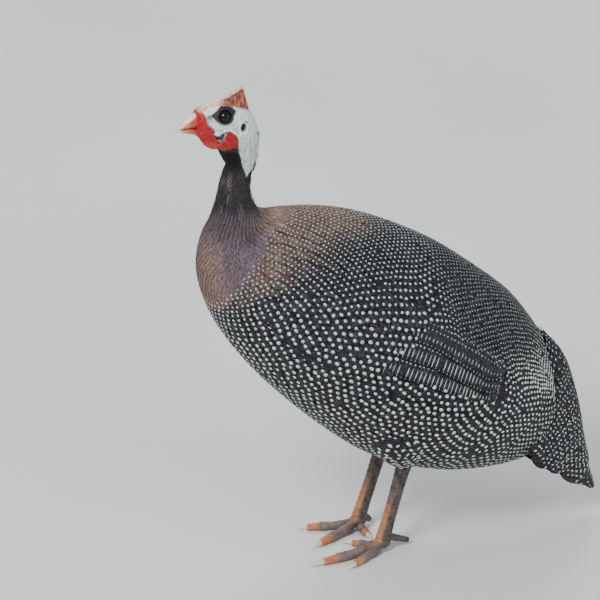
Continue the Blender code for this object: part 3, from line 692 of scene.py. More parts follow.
def wattle_material():
    """Red skin with fine folds and a moist gloss."""
    shader = Shader("wattle skin")
    folds = shader.noise(420.0, 4.0, 0.65)
    shader.bump(folds + shader.cells(1300.0) * 0.4, 0.4, 0.8)
    return shader.shaded(shader.paint(), shader.range(folds, 0.3, 0.7, 0.72, 1.15), 0.38, 0.5,
                         Subsurface_Weight=0.15, Subsurface_Scale=0.002, Subsurface_Radius=(1.0, 0.25, 0.15))


def horn_material(name, roughness, grain):
    """Horn: its paint with stretched growth lines and small pits."""
    shader = Shader(name)
    stretched = shader.node("ShaderNodeMapping", {"vector_type": "POINT"}, {
        "Vector": shader.place(), "Scale": (1.0, 0.35, 1.6), "Rotation": (0.6, 0.0, 0.0),
    })
    lines = shader.noise(grain, 4.0, 0.6, stretched)
    shader.bump(lines + shader.noise(1500.0) * 0.3, 0.25, 0.6)
    return shader.shaded(shader.paint(), shader.range(lines, 0.3, 0.7, 0.8, 1.12), roughness, 0.5,
                         Coat_Weight=0.15, Coat_Roughness=0.3)


def leg_material():
    """Leg scales: their paint with small raised cells."""
    shader = Shader("leg scales")
    edge = shader.cells(620.0, "DISTANCE_TO_EDGE")
    worn = shader.range(shader.noise(260.0), 0.3, 0.7, 0.78, 1.15)
    shader.bump(shader.range(edge, 0.0, 0.2), 0.3, 0.6)
    return shader.shaded(shader.paint(), shader.range(edge, 0.0, 0.12, 0.7, 1.0) * worn, 0.55, 0.4)


def eye_material(name, side):
    """A dark brown iris round a black pupil under a wet, clear gloss."""
    shader = Shader(name)
    pole = (np.array(EYE_CENTRE) + unit(np.array(EYE_AXIS)) * EYE_RADIUS) * (side, 1.0, 1.0)
    pole = (pole - (0.0, LENGTH_MIDDLE, 0.0)) * MM
    away = shader.node("ShaderNodeVectorMath", {"operation": "DISTANCE"},
                       {0: shader.place(), 1: tuple(pole)}, "Value")
    iris = shader.blend(shader.range(away, 3.2 * MM, 4.6 * MM), colour("1d1410"), colour("090707"))
    eye = shader.blend(shader.range(away, 2.2 * MM, 2.5 * MM), colour("040404"), iris)
    return shader.set(0.2, 0.15, Base_Color=eye, Coat_Weight=0.3, Coat_Roughness=0.04)


# Feathers

VANE_COLUMNS = 5
GROWING_STEPS = 4
PATCH = 0.003
# The gap between rows and the cycle of them that lay pearls in a lattice of triangles.
HEXAGONAL = (0.866, 2)
SECONDARIES = 5


class Vanes:
    """Feathers laid on a surface, each from a start to an end place on it. The shape is half
    the width, the root's and the tip's height over the surface, the camber and the roll."""

    def __init__(self, surface, kind, start, end, *shape):
        self.surface = surface
        self.kind = kind
        self.start = start
        self.end = end
        self.shape = shape
        self.across = self.find_across()

    def find_across(self):
        """The change of place for one millimetre across each vane, at root, middle and tip."""
        steps = []
        run = self.end - self.start
        for share in (0.0, 0.5, 1.0):
            at = self.start + run * share
            one, two = self.surface.slopes(at)
            ahead = unit(one * run[:, :1] + two * run[:, 1:])
            steps.append(self.surface.steer(at, np.cross(self.surface.normal(at), ahead)))
        return np.stack(steps, axis=1)

    def lengths(self):
        return np.linalg.norm(self.surface.point(self.end) - self.surface.point(self.start), axis=-1)

    def outline(self, share):
        """Half the width along the vane, as a share: a narrow root and a rounded or long tip."""
        if self.kind == "hair":
            return 0.6 + 0.4 * smooth(0.0, 0.4, share) - 0.82 * smooth(0.45, 1.05, share)
        root, full, tip, least = (0.45, 0.25, 0.14, 0.015) if self.kind == "long" else (0.4, 0.45, 0.4, 0.02)
        grown = root + (1 - root) * smooth(0.0, full, share)
        return grown * round_end(share, tip, least)

    def place(self, share, w, more=0.0):
        """Points at share along and w across each vane, arrays of shape (count, ...)."""
        extra = (1,) * (share.ndim - 1)
        half_width, root_lift, tip_lift, camber, roll = [value.reshape(-1, *extra) for value in self.shape]
        at = self.start.reshape(-1, *extra, 2)
        run = self.end.reshape(-1, *extra, 2) - at
        steps = self.across.reshape(-1, 3, *extra, 2)
        early, late = np.clip(1 - 2 * share, 0, 1)[..., None], np.clip(2 * share - 1, 0, 1)[..., None]
        across = steps[:, 0] * early + steps[:, 2] * late + steps[:, 1] * (1 - early - late)
        reach = w * half_width * self.outline(share)
        rise = smooth(0.0, 1.0, share) * 0.25 + share * 0.75
        lift = root_lift + (tip_lift - root_lift) * rise
        lift = lift + camber * (1 - w * w) * smooth(0.0, 0.3, share) + roll * w
        return self.surface(at + run * share[..., None] + across * reach[..., None], lift + more)

    def mesh(self, rows, thickness, paint, bake_root):
        """Closed vanes: a fine upper face, and an underside with one line along its middle."""
        count = len(self.start)
        share = 1 - (1 - np.linspace(0.0, 1.0, rows)) ** 1.35
        w = np.linspace(-1.0, 1.0, VANE_COLUMNS)
        shares = np.broadcast_to(share[None, :, None], (count, rows, VANE_COLUMNS))
        across = np.broadcast_to(w, shares.shape)
        inner = np.broadcast_to(share[None, 1:-1, None], (count, rows - 2, 1))
        under = self.place(inner, np.zeros(inner.shape), -thickness)
        top = self.place(shares, across).reshape(count, -1, 3)
        points = np.concatenate([top, under.reshape(count, -1, 3)], axis=1)
        cell = np.arange(rows * VANE_COLUMNS).reshape(rows, VANE_COLUMNS)
        middle = VANE_COLUMNS // 2
        line = np.concatenate([cell[:1, middle], cell.size + np.arange(rows - 2), cell[-1:, middle]])
        upper = np.stack([cell[:-1, :-1], cell[1:, :-1], cell[1:, 1:], cell[:-1, 1:]], axis=-1)
        left = np.stack([cell[:-1, 0], line[:-1], line[1:], cell[1:, 0]], axis=-1)
        right = np.stack([line[:-1], cell[:-1, -1], cell[1:, -1], line[1:]], axis=-1)
        quads = np.concatenate([upper.reshape(-1, 4), left, right])
        tris = np.stack([cell[0, :3], cell[0, 2:], cell[-1, 2::-1], cell[-1, :1:-1]])
        shift = (np.arange(count) * points.shape[1])[:, None, None]
        seen = np.concatenate([shares.reshape(count, -1), inner.reshape(count, -1)], axis=1)
        sides = np.concatenate([across.reshape(count, -1), np.zeros((count, rows - 2))], axis=1)
        bake = bake_root[:, None, :] + PATCH * np.stack([sides * 0.5, seen], axis=-1)
        return (points.reshape(-1, 3), (quads + shift).reshape(-1, 4), (tris + shift).reshape(-1, 3),
                paint(points, seen, sides).reshape(-1, 3), bake.reshape(-1, 2))

    def drops(self, which, share, w, long, wide, paint, bake_root, rim=8):
        """Pearls: closed low domes on vane number which, at share and w, with half sizes in mm."""
        picked = Vanes(self.surface, self.kind, self.start[which], self.end[which],
                       *[value[which] for value in self.shape])
        turn = np.linspace(0.0, math.tau, rim, endpoint=False)
        along = (long / picked.lengths())[:, None] * [*np.cos(turn), 0.0, 0.0]
        aside = (wide / (picked.shape[0] * picked.outline(share)))[:, None] * [*np.sin(turn), 0.0, 0.0]
        rise = np.array([0.02] * rim + [0.16, -0.1])
        points = picked.place(np.clip(share[:, None] + along, 0.02, 0.985),
                              np.clip(w[:, None] + aside, -0.97, 0.97), rise)
        return domes(points, paint, bake_root[which])


# Markings

def round_end(share, length, least):
    """1 along a limb or a feather, rounded down to the root of least over the last length."""
    return np.sqrt(np.clip(1 - (np.clip(share - (1 - length), 0, None) / length) ** 2, least, 1.0))


def domes(points, paint, bake_root):
    """Closed domes of shape (count, rim + 2, 3): each one's rim, its top and its underside."""
    count, stride = points.shape[:2]
    ring = np.arange(stride - 2)
    after = np.roll(ring, -1)
    tris = np.concatenate([
        np.stack([ring, after, np.full_like(ring, stride - 2)], axis=-1),
        np.stack([after, ring, np.full_like(ring, stride - 1)], axis=-1),
    ])
    shift = (np.arange(count) * stride)[:, None, None]
    return (points.reshape(-1, 3), np.zeros((0, 4), int), (tris + shift).reshape(-1, 3),
            np.repeat(paint, stride, axis=0), np.repeat(bake_root + PATCH * 0.5, stride, axis=0))


GROUND = "202024"
COLLAR = "6d6268"
# Painted sunlight: the pink-tan of the collar's front, where the sun falls on it.
COLLAR_SUNLIT_FRONT = "8c6c62"
# Painted sunlight: the tan of the mantle and the top of the back, where the sun falls.
MANTLE_SUNLIT_TAN = "b0917a"
THROAT = "0e0d0f"
NECK_GREY = "353236"
PEARL = "eaf1ef"
# Painted sunlight: the warm tint of the pearls where the sun falls on the back.
PEARL_SUNLIT_TAN = "eed7b4"

COLLAR_LINE = (
    (-56.0, 330.0), (-78.0, 322.0), (-104.4, 316.0), (-114.8, 300.0), (-130.0, 280.0), (-141.0, 262.0),
    (-160.0, 240.0),
)


def beyond(line, points):
    """How far points lie in front of a line of (y, z), whose left side is in front."""
    gap, turn = off_line(line, points)
    nearest = gap.argmin(axis=-1)[..., None]
    return (np.sign(np.take_along_axis(turn, nearest, -1)) * np.take_along_axis(gap, nearest, -1))[..., 0]


def inside(outline, points):
    """How deep points lie inside a closed outline of (y, z), negative outside it."""
    line = np.asarray(outline + outline[:1], float)
    gap, turn = off_line(line, points)
    above = line[:, 1] > points[..., 2:]
    crossed = (above[..., :-1] != above[..., 1:]) & (turn * np.diff(line[:, 1]) < 0)
    return gap.min(axis=-1) * np.where(crossed.sum(axis=-1) % 2 == 1, 1, -1)


def oval(points, centre, width, height):
    """How far points lie from centre (y, z), counted in half sizes of an oval."""
    return np.hypot((points[..., 1] - centre[0]) / width, (points[..., 2] - centre[1]) / height)


def near(points, centre, radius):
    """1 at centre (y, z), fading to nearly nothing at radius."""
    return np.exp(-2.0 * oval(points, centre, radius, radius) ** 2)


def sunlit_tan_share(points):
    """How much of the tan of painted warm sunlight the plumage has: behind the collar and on the back."""
    y, z = points[..., 1], points[..., 2]
    band = smooth(-34.0, -2.0, beyond(COLLAR_LINE, points)) * smooth(262, 296, z)
    return np.clip(np.maximum(band, smooth(300, 318, z) * fade(-20, 40, y)), 0, 1)


def ground_colour(points):
    """The plumage's ground at points: dark, lilac on the collar with painted sunlight in pink-tan on its
    front, and painted sunlight in tan on the mantle.
    """
    front = beyond(COLLAR_LINE, points)
    y, z = points[..., 1], points[..., 2]
    lilac = layers(
        COLLAR,
        # painted sunlight: pink-tan on the collar's front
        (COLLAR_SUNLIT_FRONT, 0.75 * fade(-150, -130, y) * fade(305, 330, z)),
        # painted sunlight: tan on the top of the collar at the neck's base
        (MANTLE_SUNLIT_TAN, 0.6 * smooth(316, 325, z) * smooth(-125, -100, y) * fade(330, 338, z)),
    )
    middle = smooth(300, 330, z + 0.5 * (y + 120))
    streak = smooth(0.1, 0.7, wander(points * (0.6, 1.0, 0.12), 5.0, 77, 2)) * smooth(318, 330, z)
    return layers(
        GROUND,
        # painted sunlight: tan behind the collar and on the top of the back
        (MANTLE_SUNLIT_TAN, 0.3 * sunlit_tan_share(points)),
        (lilac, smooth(-3.0, 4.0, front)),
        (NECK_GREY, np.maximum(smooth(326, 342, z), 0.6 * middle * smooth(4, 12, front))),
        ("776a62", 0.5 * streak * fade(-122, -112, y) * fade(365, 378, z)),
        (THROAT, smooth(366, 382, z) * fade(-124, -116, y)),
    )


def pitch(points):
    """The size of the plumage's pattern in mm: a feather's width at points."""
    y, z = points[..., 1], points[..., 2]
    front = beyond(COLLAR_LINE, points)
    low = fade(232, 305, z)
    near_collar = 4.4 * fade(5.0, 52.0, -front)
    breast = 3.2 * fade(-118, -72, y) * smooth(20.0, 52.0, -front)
    size = 8.2 + low * (4.8 - near_collar - breast - 3.8 * smooth(105, 135, y))
    return np.clip(size - 2.6 * smooth(0.0, 10.0, front), 5.6, 13.4)


def spacing(points):
    """The distance between the plumage's pearls in mm."""
    y, z = points[..., 1], points[..., 2]
    near_collar = 2.3 * fade(4.0, 44.0, -beyond(COLLAR_LINE, points))
    rump = 2.6 * smooth(26, 58, y) * smooth(162, 205, z) + 1.5 * smooth(80, 112, y) * fade(168, 212, z)
    size = 4.3 + fade(236, 300, z) * (2.6 - near_collar - rump)
    return np.clip(size - 0.4 * smooth(60, 120, y) * smooth(150, 190, z), 3.7, 6.9)


# The skin

FACE = "d3eae4"
FACE_SHADE = "a3c2c2"
RED = "a40305"
RED_DEEP = "6c0204"
PINK = "d4554e"
CERE_RED = "c41a18"

# Outlines in side view, as (y, z), of the red skin, the dark skin about the eye, the pale
# brow and all the bare skin down to the nape's end.
RED_FACE = (
    (-162.0, 428.5), (-151.5, 428.5), (-149.6, 422.0), (-149.8, 419.4), (-148.4, 415.9), (-144.2, 411.7),
    (-142.8, 408.8), (-141.9, 403.0), (-141.2, 399.8), (-138.0, 397.6), (-134.8, 400.5), (-133.8, 404.0),
    (-132.8, 407.4), (-128.4, 407.9), (-125.4, 403.2), (-122.0, 398.0), (-121.4, 390.0), (-134.0, 388.0),
    (-162.0, 388.0),
)
DARK_EYE = (
    (-145.4, 423.4), (-139.6, 426.8), (-134.4, 429.8), (-129.9, 431.2), (-125.2, 428.6), (-122.6, 424.8),
    (-125.4, 421.6), (-125.8, 418.4), (-128.6, 415.6), (-132.8, 414.4), (-137.2, 415.2), (-140.4, 417.8),
    (-143.0, 421.0),
)
PALE_BROW = (
    (-150.8, 423.4), (-145.2, 424.6), (-139.4, 428.0), (-134.2, 431.0), (-131.2, 433.4), (-136.0, 433.4),
    (-142.4, 430.8), (-147.6, 427.6), (-151.0, 425.4),
)
BARE_NECK = (
    (-143.0, 394.6), (-140.6, 392.4), (-133.8, 390.6), (-121.8, 391.4), (-119.9, 382.6), (-118.6, 374.0),
    (-117.0, 371.0), (-115.4, 366.0), (-113.6, 358.8), (-112.6, 361.0), (-112.2, 366.0), (-110.0, 363.6),
    (-106.8, 366.5), (-103.6, 372.0), (-100.0, 380.0), (-99.0, 402.0), (-101.0, 418.0), (-112.0, 428.0),
    (-120.0, 434.0), (-135.0, 440.0), (-164.0, 434.0), (-164.0, 394.0),
)
EAR_HOOK = ((-116.8, 415.4), (-115.1, 415.0), (-113.8, 413.0))
LORE = (-146.2, 421.9)
FOLD_OVER_WATTLE = (
    (-136.6, 408.4), (-133.6, 409.9), (-129.2, 409.7), (-124.8, 406.2), (-122.0, 401.0), (-119.6, 397.4),
)


def off_eye(points):
    """How far points lie from the line that the eye looks along, the same on both sides."""
    away = np.stack([np.abs(points[..., 0]), points[..., 1], points[..., 2]], axis=-1) - EYE_CENTRE
    axis = unit(np.array(EYE_AXIS))
    return np.linalg.norm(away - (away @ axis)[..., None] * axis, axis=-1)


def off_line(line, points):
    """How far points lie from each stretch of a line of (y, z), and how far to its left
    they turn, as the cross product with the stretch."""
    line = np.asarray(line, float)
    run = np.diff(line, axis=0)
    away = points[..., None, 1:] - line[:-1]
    f = np.clip((away * run).sum(-1) / (run * run).sum(-1), 0, 1)
    gap = np.linalg.norm(away - f[..., None] * run, axis=-1)
    return gap, run[:, 1] * away[..., 0] - run[:, 0] * away[..., 1]


def along_line(line, points):
    """How far points lie from a line of (y, z)."""
    return off_line(line, points)[0].min(axis=-1)


def bare(points):
    """1 on the bare skin of face and nape, 0 where feathers grow."""
    edge = inside(BARE_NECK, points) + 1.1 * wander(points * (0.4, 1.0, 1.0), 5.0, 5, 2)
    strip = fade(1.0, 2.2, np.abs(points[..., 0])) * smooth(-110, -106, points[..., 1])
    return smooth(-0.4, 0.5, edge) * (1 - strip * fade(398, 404, points[..., 2]))


def skin_colour(points):
    """The skin's paint at points: the plumage's ground, and the bare head's own colours, with painted shade
    in its folds, hollows and openings and a painted shadow round the pale patch.
    """
    y, z = points[..., 1], points[..., 2]
    nape = fade(390, 408, z)
    lines = smooth(0.1, 0.7, wander(points * (1.0, 0.35, 1.0), 1.6, 31, 2))
    brow = inside(PALE_BROW, points)
    red = inside(RED_FACE, points) + 0.4 * wander(points, 3.0, 8, 2)
    red_skin = layers(
        RED,
        (PINK, 0.4 * smooth(0.2, 0.9, wander(points, 2.2, 14))),
        ("f0b3a4", 0.85 * smooth(424.2, 426.6, z)),
        (CERE_RED, 0.85 * near(points, CERE, 5.0)),
        ("e9a08a", 0.5 * fade(-158.5, -155.5, y)),
    )
    ruffle = 0.5 * wander(points, 2.0, 93, 2)
    spot = np.hypot((y + 138.7) / 4.8, (z - 402.7 + 0.15 * (y + 138.7)) / 2.4)
    spot = np.minimum(spot, oval(points, (-135.8, 405.4), 2.0, 3.0)) + 0.4 * ruffle
    rim = along_line(FOLD_OVER_WATTLE, points)
    dark = inside(DARK_EYE, points) + 0.15 * wander(points, 2.0, 91, 2)
    below = smooth(0.0, 0.5, (EYE_CENTRE[2] - z) / np.maximum(off_eye(points), 0.1) + 0.25)
    ear = oval(points, EAR_CENTRE[1:], 2.7, 3.8)
    nostril = fade(0.7, 1.1, oval(points, NOSTRIL, 1.0, 0.5))
    face = layers(
        FACE,
        (FACE_SHADE, 0.5 * smooth(-0.1, 0.7, wander(points, 7.0, 11))),
        ("bcd2c2", 0.75 * nape),
        # painted shade: darker green in the hollows of the nape's lumps and wrinkles
        ("6d8c84", 0.75 * np.maximum(nape, 0.3) * smooth(0.1, 0.6, -nape_relief(points))),
        ("d9c3bd", 0.35 * near(points, (-137, 412), 5.0)),
        (mix("dfb29c", "a5503f", 0.6 * lines), 0.9 * smooth(427.5, 431.0, z)),
        ("9c4a3e", 0.9 * bell(brow, -0.9, 0.7) * smooth(426, 429, z)),
        ("fdf5ea", smooth(-0.5, 0.2, brow)),
        (red_skin, smooth(-0.3, 0.3, red)),
        # painted shade: a dark line in the fold along the red skin's edge
        ("3c2b30", 0.85 * bell(red, -0.45, 0.75) * fade(421, 424, z) * smooth(405, 408, z)),
        # painted shadow: grey-blue round the raised pale patch
        ("4e5a66", 0.85 * fade(0.8, 1.1, oval(points, (-139.0, 405.8), 5.2, 4.6) + 0.3 * ruffle)),
        ("eef6f8", fade(0.8, 1.1, oval(points, (-140.0, 407.6), 2.9, 2.3) + 0.4 * ruffle)),
        ("1f1f25", 0.95 * fade(0.65, 1.1, spot)),
        (RED, fade(0.75, 1.0, oval(points, (-137.5, 395.6), 6.5, 3.2))),
        ("dba79c", 0.7 * fade(0.6, 1.2, oval(points, (-138.2, 399.6), 3.2, 1.3))),
        ("f0f6f2", 0.7 * fade(0.5, 1.4, rim)),
        # painted shade: grey-green in the groove beside the fold over the wattle
        ("6f8586", 0.5 * bell(rim, 1.7, 0.4) * smooth(402, 406, z)),
        ("2b1c20", 0.95 * near(points, LORE, 3.0)),
        ("211a20", smooth(-0.35, 0.35, dark)),
        ("8a8396", 0.75 * bell(dark, 0.75, 0.3) * below),
        ("f3f8f4", 0.8 * bell(ear, 1.4, 0.28)),
        # painted shade: near black inside the ear's opening
        ("1c1517", fade(0.8, 1.1, ear)),
        ("2c2426", 0.85 * fade(0.25, 0.7, along_line(EAR_HOOK, points))),
        # painted shade: dark red inside the nostril
        ("4a1212", nostril * smooth(4.0, 6.0, np.abs(points[..., 0]))),
        ("f2f0ea", 0.8 * near(points, (-123.2, 429.3), 2.8)),
        ("8d4434", 0.85 * near(points, (-114.6, 426.6), 3.6)),
    )
    return mix(ground_colour(points) * 0.8, face, bare(points))


def nape_relief(points):
    """The lumps and upright wrinkles of the bare nape, from -1 to 1."""
    return 0.6 * wander(points * (1.0, 1.0, 0.5), 5.0, 17, 2) + 0.5 * wander(points, 2.6, 18, 2)


def head_relief(points):
    """How far the bare head stands over or under its plain form: lids, lore, cere, ear, folds."""
    y, z = points[..., 1], points[..., 2]
    side = np.abs(points[..., 0])
    flank = smooth(4.0, 8.0, side)
    eye = off_eye(points)
    dark = inside(DARK_EYE, points)
    red = inside(RED_FACE, points)
    rim = along_line(FOLD_OVER_WATTLE, points)
    ear = oval(points, EAR_CENTRE[1:], 2.7, 3.8)
    lift = flank * (
        -0.3 * smooth(-0.8, 1.2, dark) + 0.35 * bell(dark, -0.7, 0.5) - 0.7 * near(points, LORE, 2.4)
        + 0.9 * bell(rim, 0.0, 0.9) - 0.3 * bell(rim, 1.8, 0.5)
        + bell(ear, 1.45, 0.3) - 2.6 * fade(0.6, 1.15, ear)
        + 0.5 * bell(y + 0.2 * (z - 404), -118.9, 0.8) * bell(z, 404.3, 2.2)
    )
    lift += (1.5 * bell(eye, LID_RADIUS, 0.7) - 4.6 * fade(4.5, 5.5, eye)) * smooth(2.0, 5.0, side)
    lift += 1.3 * smooth(-0.9, 1.2, inside(PALE_BROW, points)) * smooth(3.0, 7.0, side)
    lift += 1.5 * near(points, CERE, 4.6) * smooth(1.0, 4.0, side)
    lift -= 0.9 * fade(0.5, 1.1, oval(points, NOSTRIL, 1.1, 0.6)) * smooth(4.0, 6.0, side)
    lift += 0.5 * smooth(0.0, 1.5, red) - 0.5 * bell(red, -0.3, 0.5) * fade(421, 424, z)
    lift += 0.6 * near(points, (-139.6, 407.2), 2.6) - 0.6 * near(points, (-138.6, 403.2), 2.4)
    lift += 0.8 * near(points, (-114.6, 426.6), 3.0) + 0.5 * near(points, (-123.2, 429.3), 2.6)
    lift += (0.3 + 0.95 * fade(398, 412, z)) * nape_relief(points) * smooth(-132, -124, y)
    lift += 0.16 * wander(points, 2.0, 41, 2) + 0.1 * wander(points, 0.9, 43, 2)
    return lift * bare(points)


def skin_parts():
    """The skin: the body's surface drawn in by the coat's depth, with the head's relief,
    the bulges of the thighs and the tail's core joined on."""
    s = np.concatenate([
        np.linspace(0.0, NECK_START, 112, endpoint=False),
        np.linspace(NECK_START, HEAD_START, 66, endpoint=False),
        np.linspace(HEAD_START, body.last, 130),
    ])
    place = grid(s, round_turn(216))
    lift = head_relief(body.point(place)) - body.depth(place[..., 0])
    lift[-1] = 0.0
    tubes = [body(place, lift)]
    for leg in LEGS.values():
        surface = thigh_surface(leg, 2.0)
        tubes.append(surface.point(grid(np.linspace(0.0, len(THIGH) - 1, 26), round_turn(48))))
    tubes.append(tail_core())
    return join([painted(tube_mesh(tube), skin_colour) for tube in tubes])


def thigh_surface(leg, inward=0.0):
    side = math.copysign(1.0, leg["ankle"][0])
    places, widths, depths = [np.array(numbers) for numbers in zip(*THIGH)]
    return Limb(np.array(leg["hock"]) + places * (side, 1.0, 1.0), widths - inward, depths - inward)


def tail_core():
    """The tail's flesh and the quills' bed: an arch closed below, ending half way down."""
    a = np.linspace(-0.3, 0.62, 22)
    sink = np.interp(a, (-0.3, -0.04, 0.5, 0.62), (-9.0, -1.5, -2.0, -3.0))[:, None]
    upper = Tail()(grid(a, np.linspace(-0.96, 0.96, 34)), np.broadcast_to(sink, (22, 34)))
    under = UnderTail()(grid(a, np.linspace(0.9, -0.9, 16)), np.full((22, 16), -2.5))
    return np.concatenate([upper, under], axis=1)[:, ::-1]


# The coat

def feather_paint(root_colour, tone, edge=0.25, root=0.78):
    """Paint for vanes: the colour at the root's place, with a paler fringe and a dark base."""
    def paint(points, share, side):
        fringe = np.clip(smooth(0.72, 1.0, np.abs(side)) * 0.6 + smooth(0.9, 1.0, share), 0, 1)
        base = np.broadcast_to(root_colour[:, None, :], points.shape) * tone[:, None, None]
        coat = mix(base, base * 1.6 + 0.008, edge * fringe)
        return coat * (root + (1 - root) * smooth(0.0, 0.45, share))[..., None]
    return paint


def rows_of_roots(surface, first, last, low, high, seed, closed=False, pitch=pitch, gap=0.5, cycle=4):
    """Places in rows over a surface: gap pitches between rows, one within them, and each
    row shifted by a share of a pitch so that the rows repeat after a cycle of them.

    The rows are level lines of the number of steps along the surface from first, so that
    they keep their distance where the pattern's size changes round the body."""
    rng = np.random.default_rng(seed)
    one = np.linspace(first, last, 700)
    two = np.linspace(low, high, 361)
    net = surface.point(grid(one, two))
    run = np.linalg.norm(np.diff(net, axis=0), axis=-1)
    steps = np.concatenate([np.zeros((1, len(two))), np.cumsum(run / (gap * pitch(net[:-1])), axis=0)])
    number = np.arange(int(steps.max()) + 1)
    lines = np.stack([np.interp(number, steps[:, j], one, right=np.nan) for j in range(len(two))], axis=1)
    places = []
    for row, at in zip(number, lines):
        good = np.isfinite(at)
        at = np.where(good, at, last)
        line = surface.point(np.stack([at, two], axis=-1))
        run = np.linalg.norm(np.diff(line, axis=0), axis=1) * (good[1:] & good[:-1])
        total = np.concatenate([[0.0], np.cumsum(run / pitch(line[:-1]))])
        if closed:
            count = max(int(round(total[-1])), 1)
            wanted = (np.arange(count) + (row % cycle) / cycle) * total[-1] / count
        else:
            wanted = np.arange(int(total[-1]) + 1) + (row % cycle) / cycle + 0.12
        turn = np.interp(wanted[wanted < total[-1]], total, two)
        places.append(np.stack([np.interp(turn, two, at), turn], axis=-1))
    roots = np.concatenate(places)
    size = pitch(surface.point(roots))[:, None]
    scale = np.stack([np.linalg.norm(slope, axis=-1) for slope in surface.slopes(roots)], axis=-1)
    return roots + rng.normal(size=roots.shape) * 0.045 * size / scale


def grow(surface, kind, roots, length, lie, *shape, limits=None):
    """Vanes from their roots along the coat's lie, length millimetres of the surface, with
    the first numbers of their ends kept in limits."""
    at = roots.copy()
    for _ in range(GROWING_STEPS):
        at = at + surface.steer(at, lie(surface, at)) * (length / GROWING_STEPS)[:, None]
    if limits:
        at[:, 0] = np.clip(at[:, 0], *limits)
    full = [np.broadcast_to(value, len(roots)).astype(float) for value in shape]
    return Vanes(surface, kind, roots, at, *full)


def backwards(surface, at):
    """The body coat's lie: to the rump, and sinking a little on the sides."""
    one, two = surface.slopes(at)
    down = np.broadcast_to((0.0, 0.0, -1.0), one.shape)
    side = np.abs(np.sin(at[..., 1]))[..., None]
    return unit(-unit(one) + 0.28 * side * down)


def lie_along(way, drift=0.0):
    """A coat's lie along a surface's first way, 1, or against it, -1, drifting to the second."""
    def lie(surface, at):
        one, two = surface.slopes(at)
        return unit(way * unit(one) + drift * unit(two))
    return lie


def pearls_on(vanes, size, rows, radius, seed, bake):
    """Pearls on vanes of pattern size, with rows and radius counted in sizes, the rows from
    the tip backwards."""
    rng = np.random.default_rng(seed)
    length = vanes.lengths()
    which, share, across = [], [], []
    for row in rows:
        for column in (-0.6, 0.6):
            at = 1 - row * size / length
            number = np.nonzero((at > 0.2) & (rng.random(len(at)) < 0.95))[0]
            which.append(number)
            share.append(at[number] + rng.normal(size=len(number)) * 0.03 * size[number] / length[number])
            across.append(column + rng.normal(size=len(number)) * 0.05)
    which, share, across = np.concatenate(which), np.concatenate(share), np.concatenate(across)
    spread = rng.uniform(0.8, 1.15, len(which)) * size[which] * radius
    shape = rng.uniform(0.92, 1.25, len(which))
    roots = vanes.surface.point(vanes.start)[which]
    faint = smooth(80, 135, roots[:, 1]) * smooth(120, 170, roots[:, 2])
    shade = rng.uniform(0.72, 1.0, len(which)) * (1 - 0.45 * faint)
    # The pearls are warmed by painted sunlight on the top of the back.
    paint = mix(PEARL, PEARL_SUNLIT_TAN, 0.8 * sunlit_tan_share(roots)) * shade[:, None]
    return vanes.drops(which, share, across, spread * shape, spread / shape, paint, bake)


def wing_level(b):
    """How high the coat of the folded wing lies over its surface, from its upper edge down."""
    return -0.9 + 1.5 * smooth(0.0, 0.3, b) * (1 - 0.7 * smooth(0.85, 1.02, b))


def over_wing(points, level):
    """Which pearls at points show over the folded wings, and the level of the coat there."""
    net = grid(np.linspace(-0.05, 0.98, 100), np.linspace(0.0, 1.33, 64)).reshape(-1, 2)
    wing = Wing(1).point(net)
    folded = points * np.where(points[:, :1] < 0, (-1.0, 1.0, 1.0), 1.0)
    away, nearest = [], []
    for part in np.array_split(folded, 80):
        gap = np.sum((part[:, None] - wing) ** 2, axis=-1)
        nearest.append(gap.argmin(axis=1))
        away.append(np.sqrt(gap.min(axis=1)))
    a, b = net[np.concatenate(nearest)].T
    row = b - 0.34 * np.clip(a - 0.33, 0.0, 1.0)
    here = (np.concatenate(away) < 3.0) & (a < 0.83) & (row < np.where(a > 0.36, 1.2, 1.01))
    bare_end = a > 0.385 + 0.26 * (1 - b)
    panel = here & bare_end & (row > 0.25) & (row < 0.885)
    over = np.where(bare_end, 1.95, 1.1 + 0.5 * fade(0.0, 0.5, a - 0.1))
    raised = np.maximum(WING_RAISE + wing_level(np.minimum(row, 0.9)) + over, level)
    return ~panel, np.where(here, raised, level)


def pearl_drops(surface, roots, level, lie, bake, seed):
    """Pearls at places of a surface: closed low drops, a little longer along the coat's lie."""
    rng = np.random.default_rng(seed)
    count = len(roots)
    plain = surface.point(roots)
    low = fade(225, 300, plain[:, 2])
    rump = smooth(30, 66, plain[:, 1]) * smooth(150, 200, plain[:, 2])
    radius = spacing(plain) * (0.215 + 0.045 * low * (1 - rump)) * rng.uniform(0.76, 1.12, count)
    stretch = rng.uniform(0.96, 1.22 + 0.12 * rump, count)
    shade = rng.uniform(0.7, 1.0, count) * (1 - 0.52 * rump) * (1 - 0.2 * (1 - low))
    out = surface.normal(roots)
    ahead = lie(surface, roots)
    ahead = unit(ahead - out * np.sum(ahead * out, axis=-1, keepdims=True))
    across = np.cross(out, ahead)
    turn = round_turn(7)[:, None]
    centre = surface(roots, level)[:, None]
    long, wide = (radius * stretch)[:, None, None], (radius / stretch)[:, None, None]
    out, ahead, across = out[:, None], ahead[:, None], across[:, None]
    rim = centre + ahead * np.cos(turn) * long + across * np.sin(turn) * wide
    points = np.concatenate([rim, centre + out * 0.28, centre - out * 0.6], axis=1)
    # The pearls are warmed by painted sunlight on the top of the back.
    paint = mix(PEARL, PEARL_SUNLIT_TAN, 0.7 * sunlit_tan_share(plain)) * shade[:, None]
    return domes(points, paint, bake)


def body_bake(places):
    return np.stack([places[:, 1] / math.tau % 1.0, places[:, 0] / body.last], axis=-1)


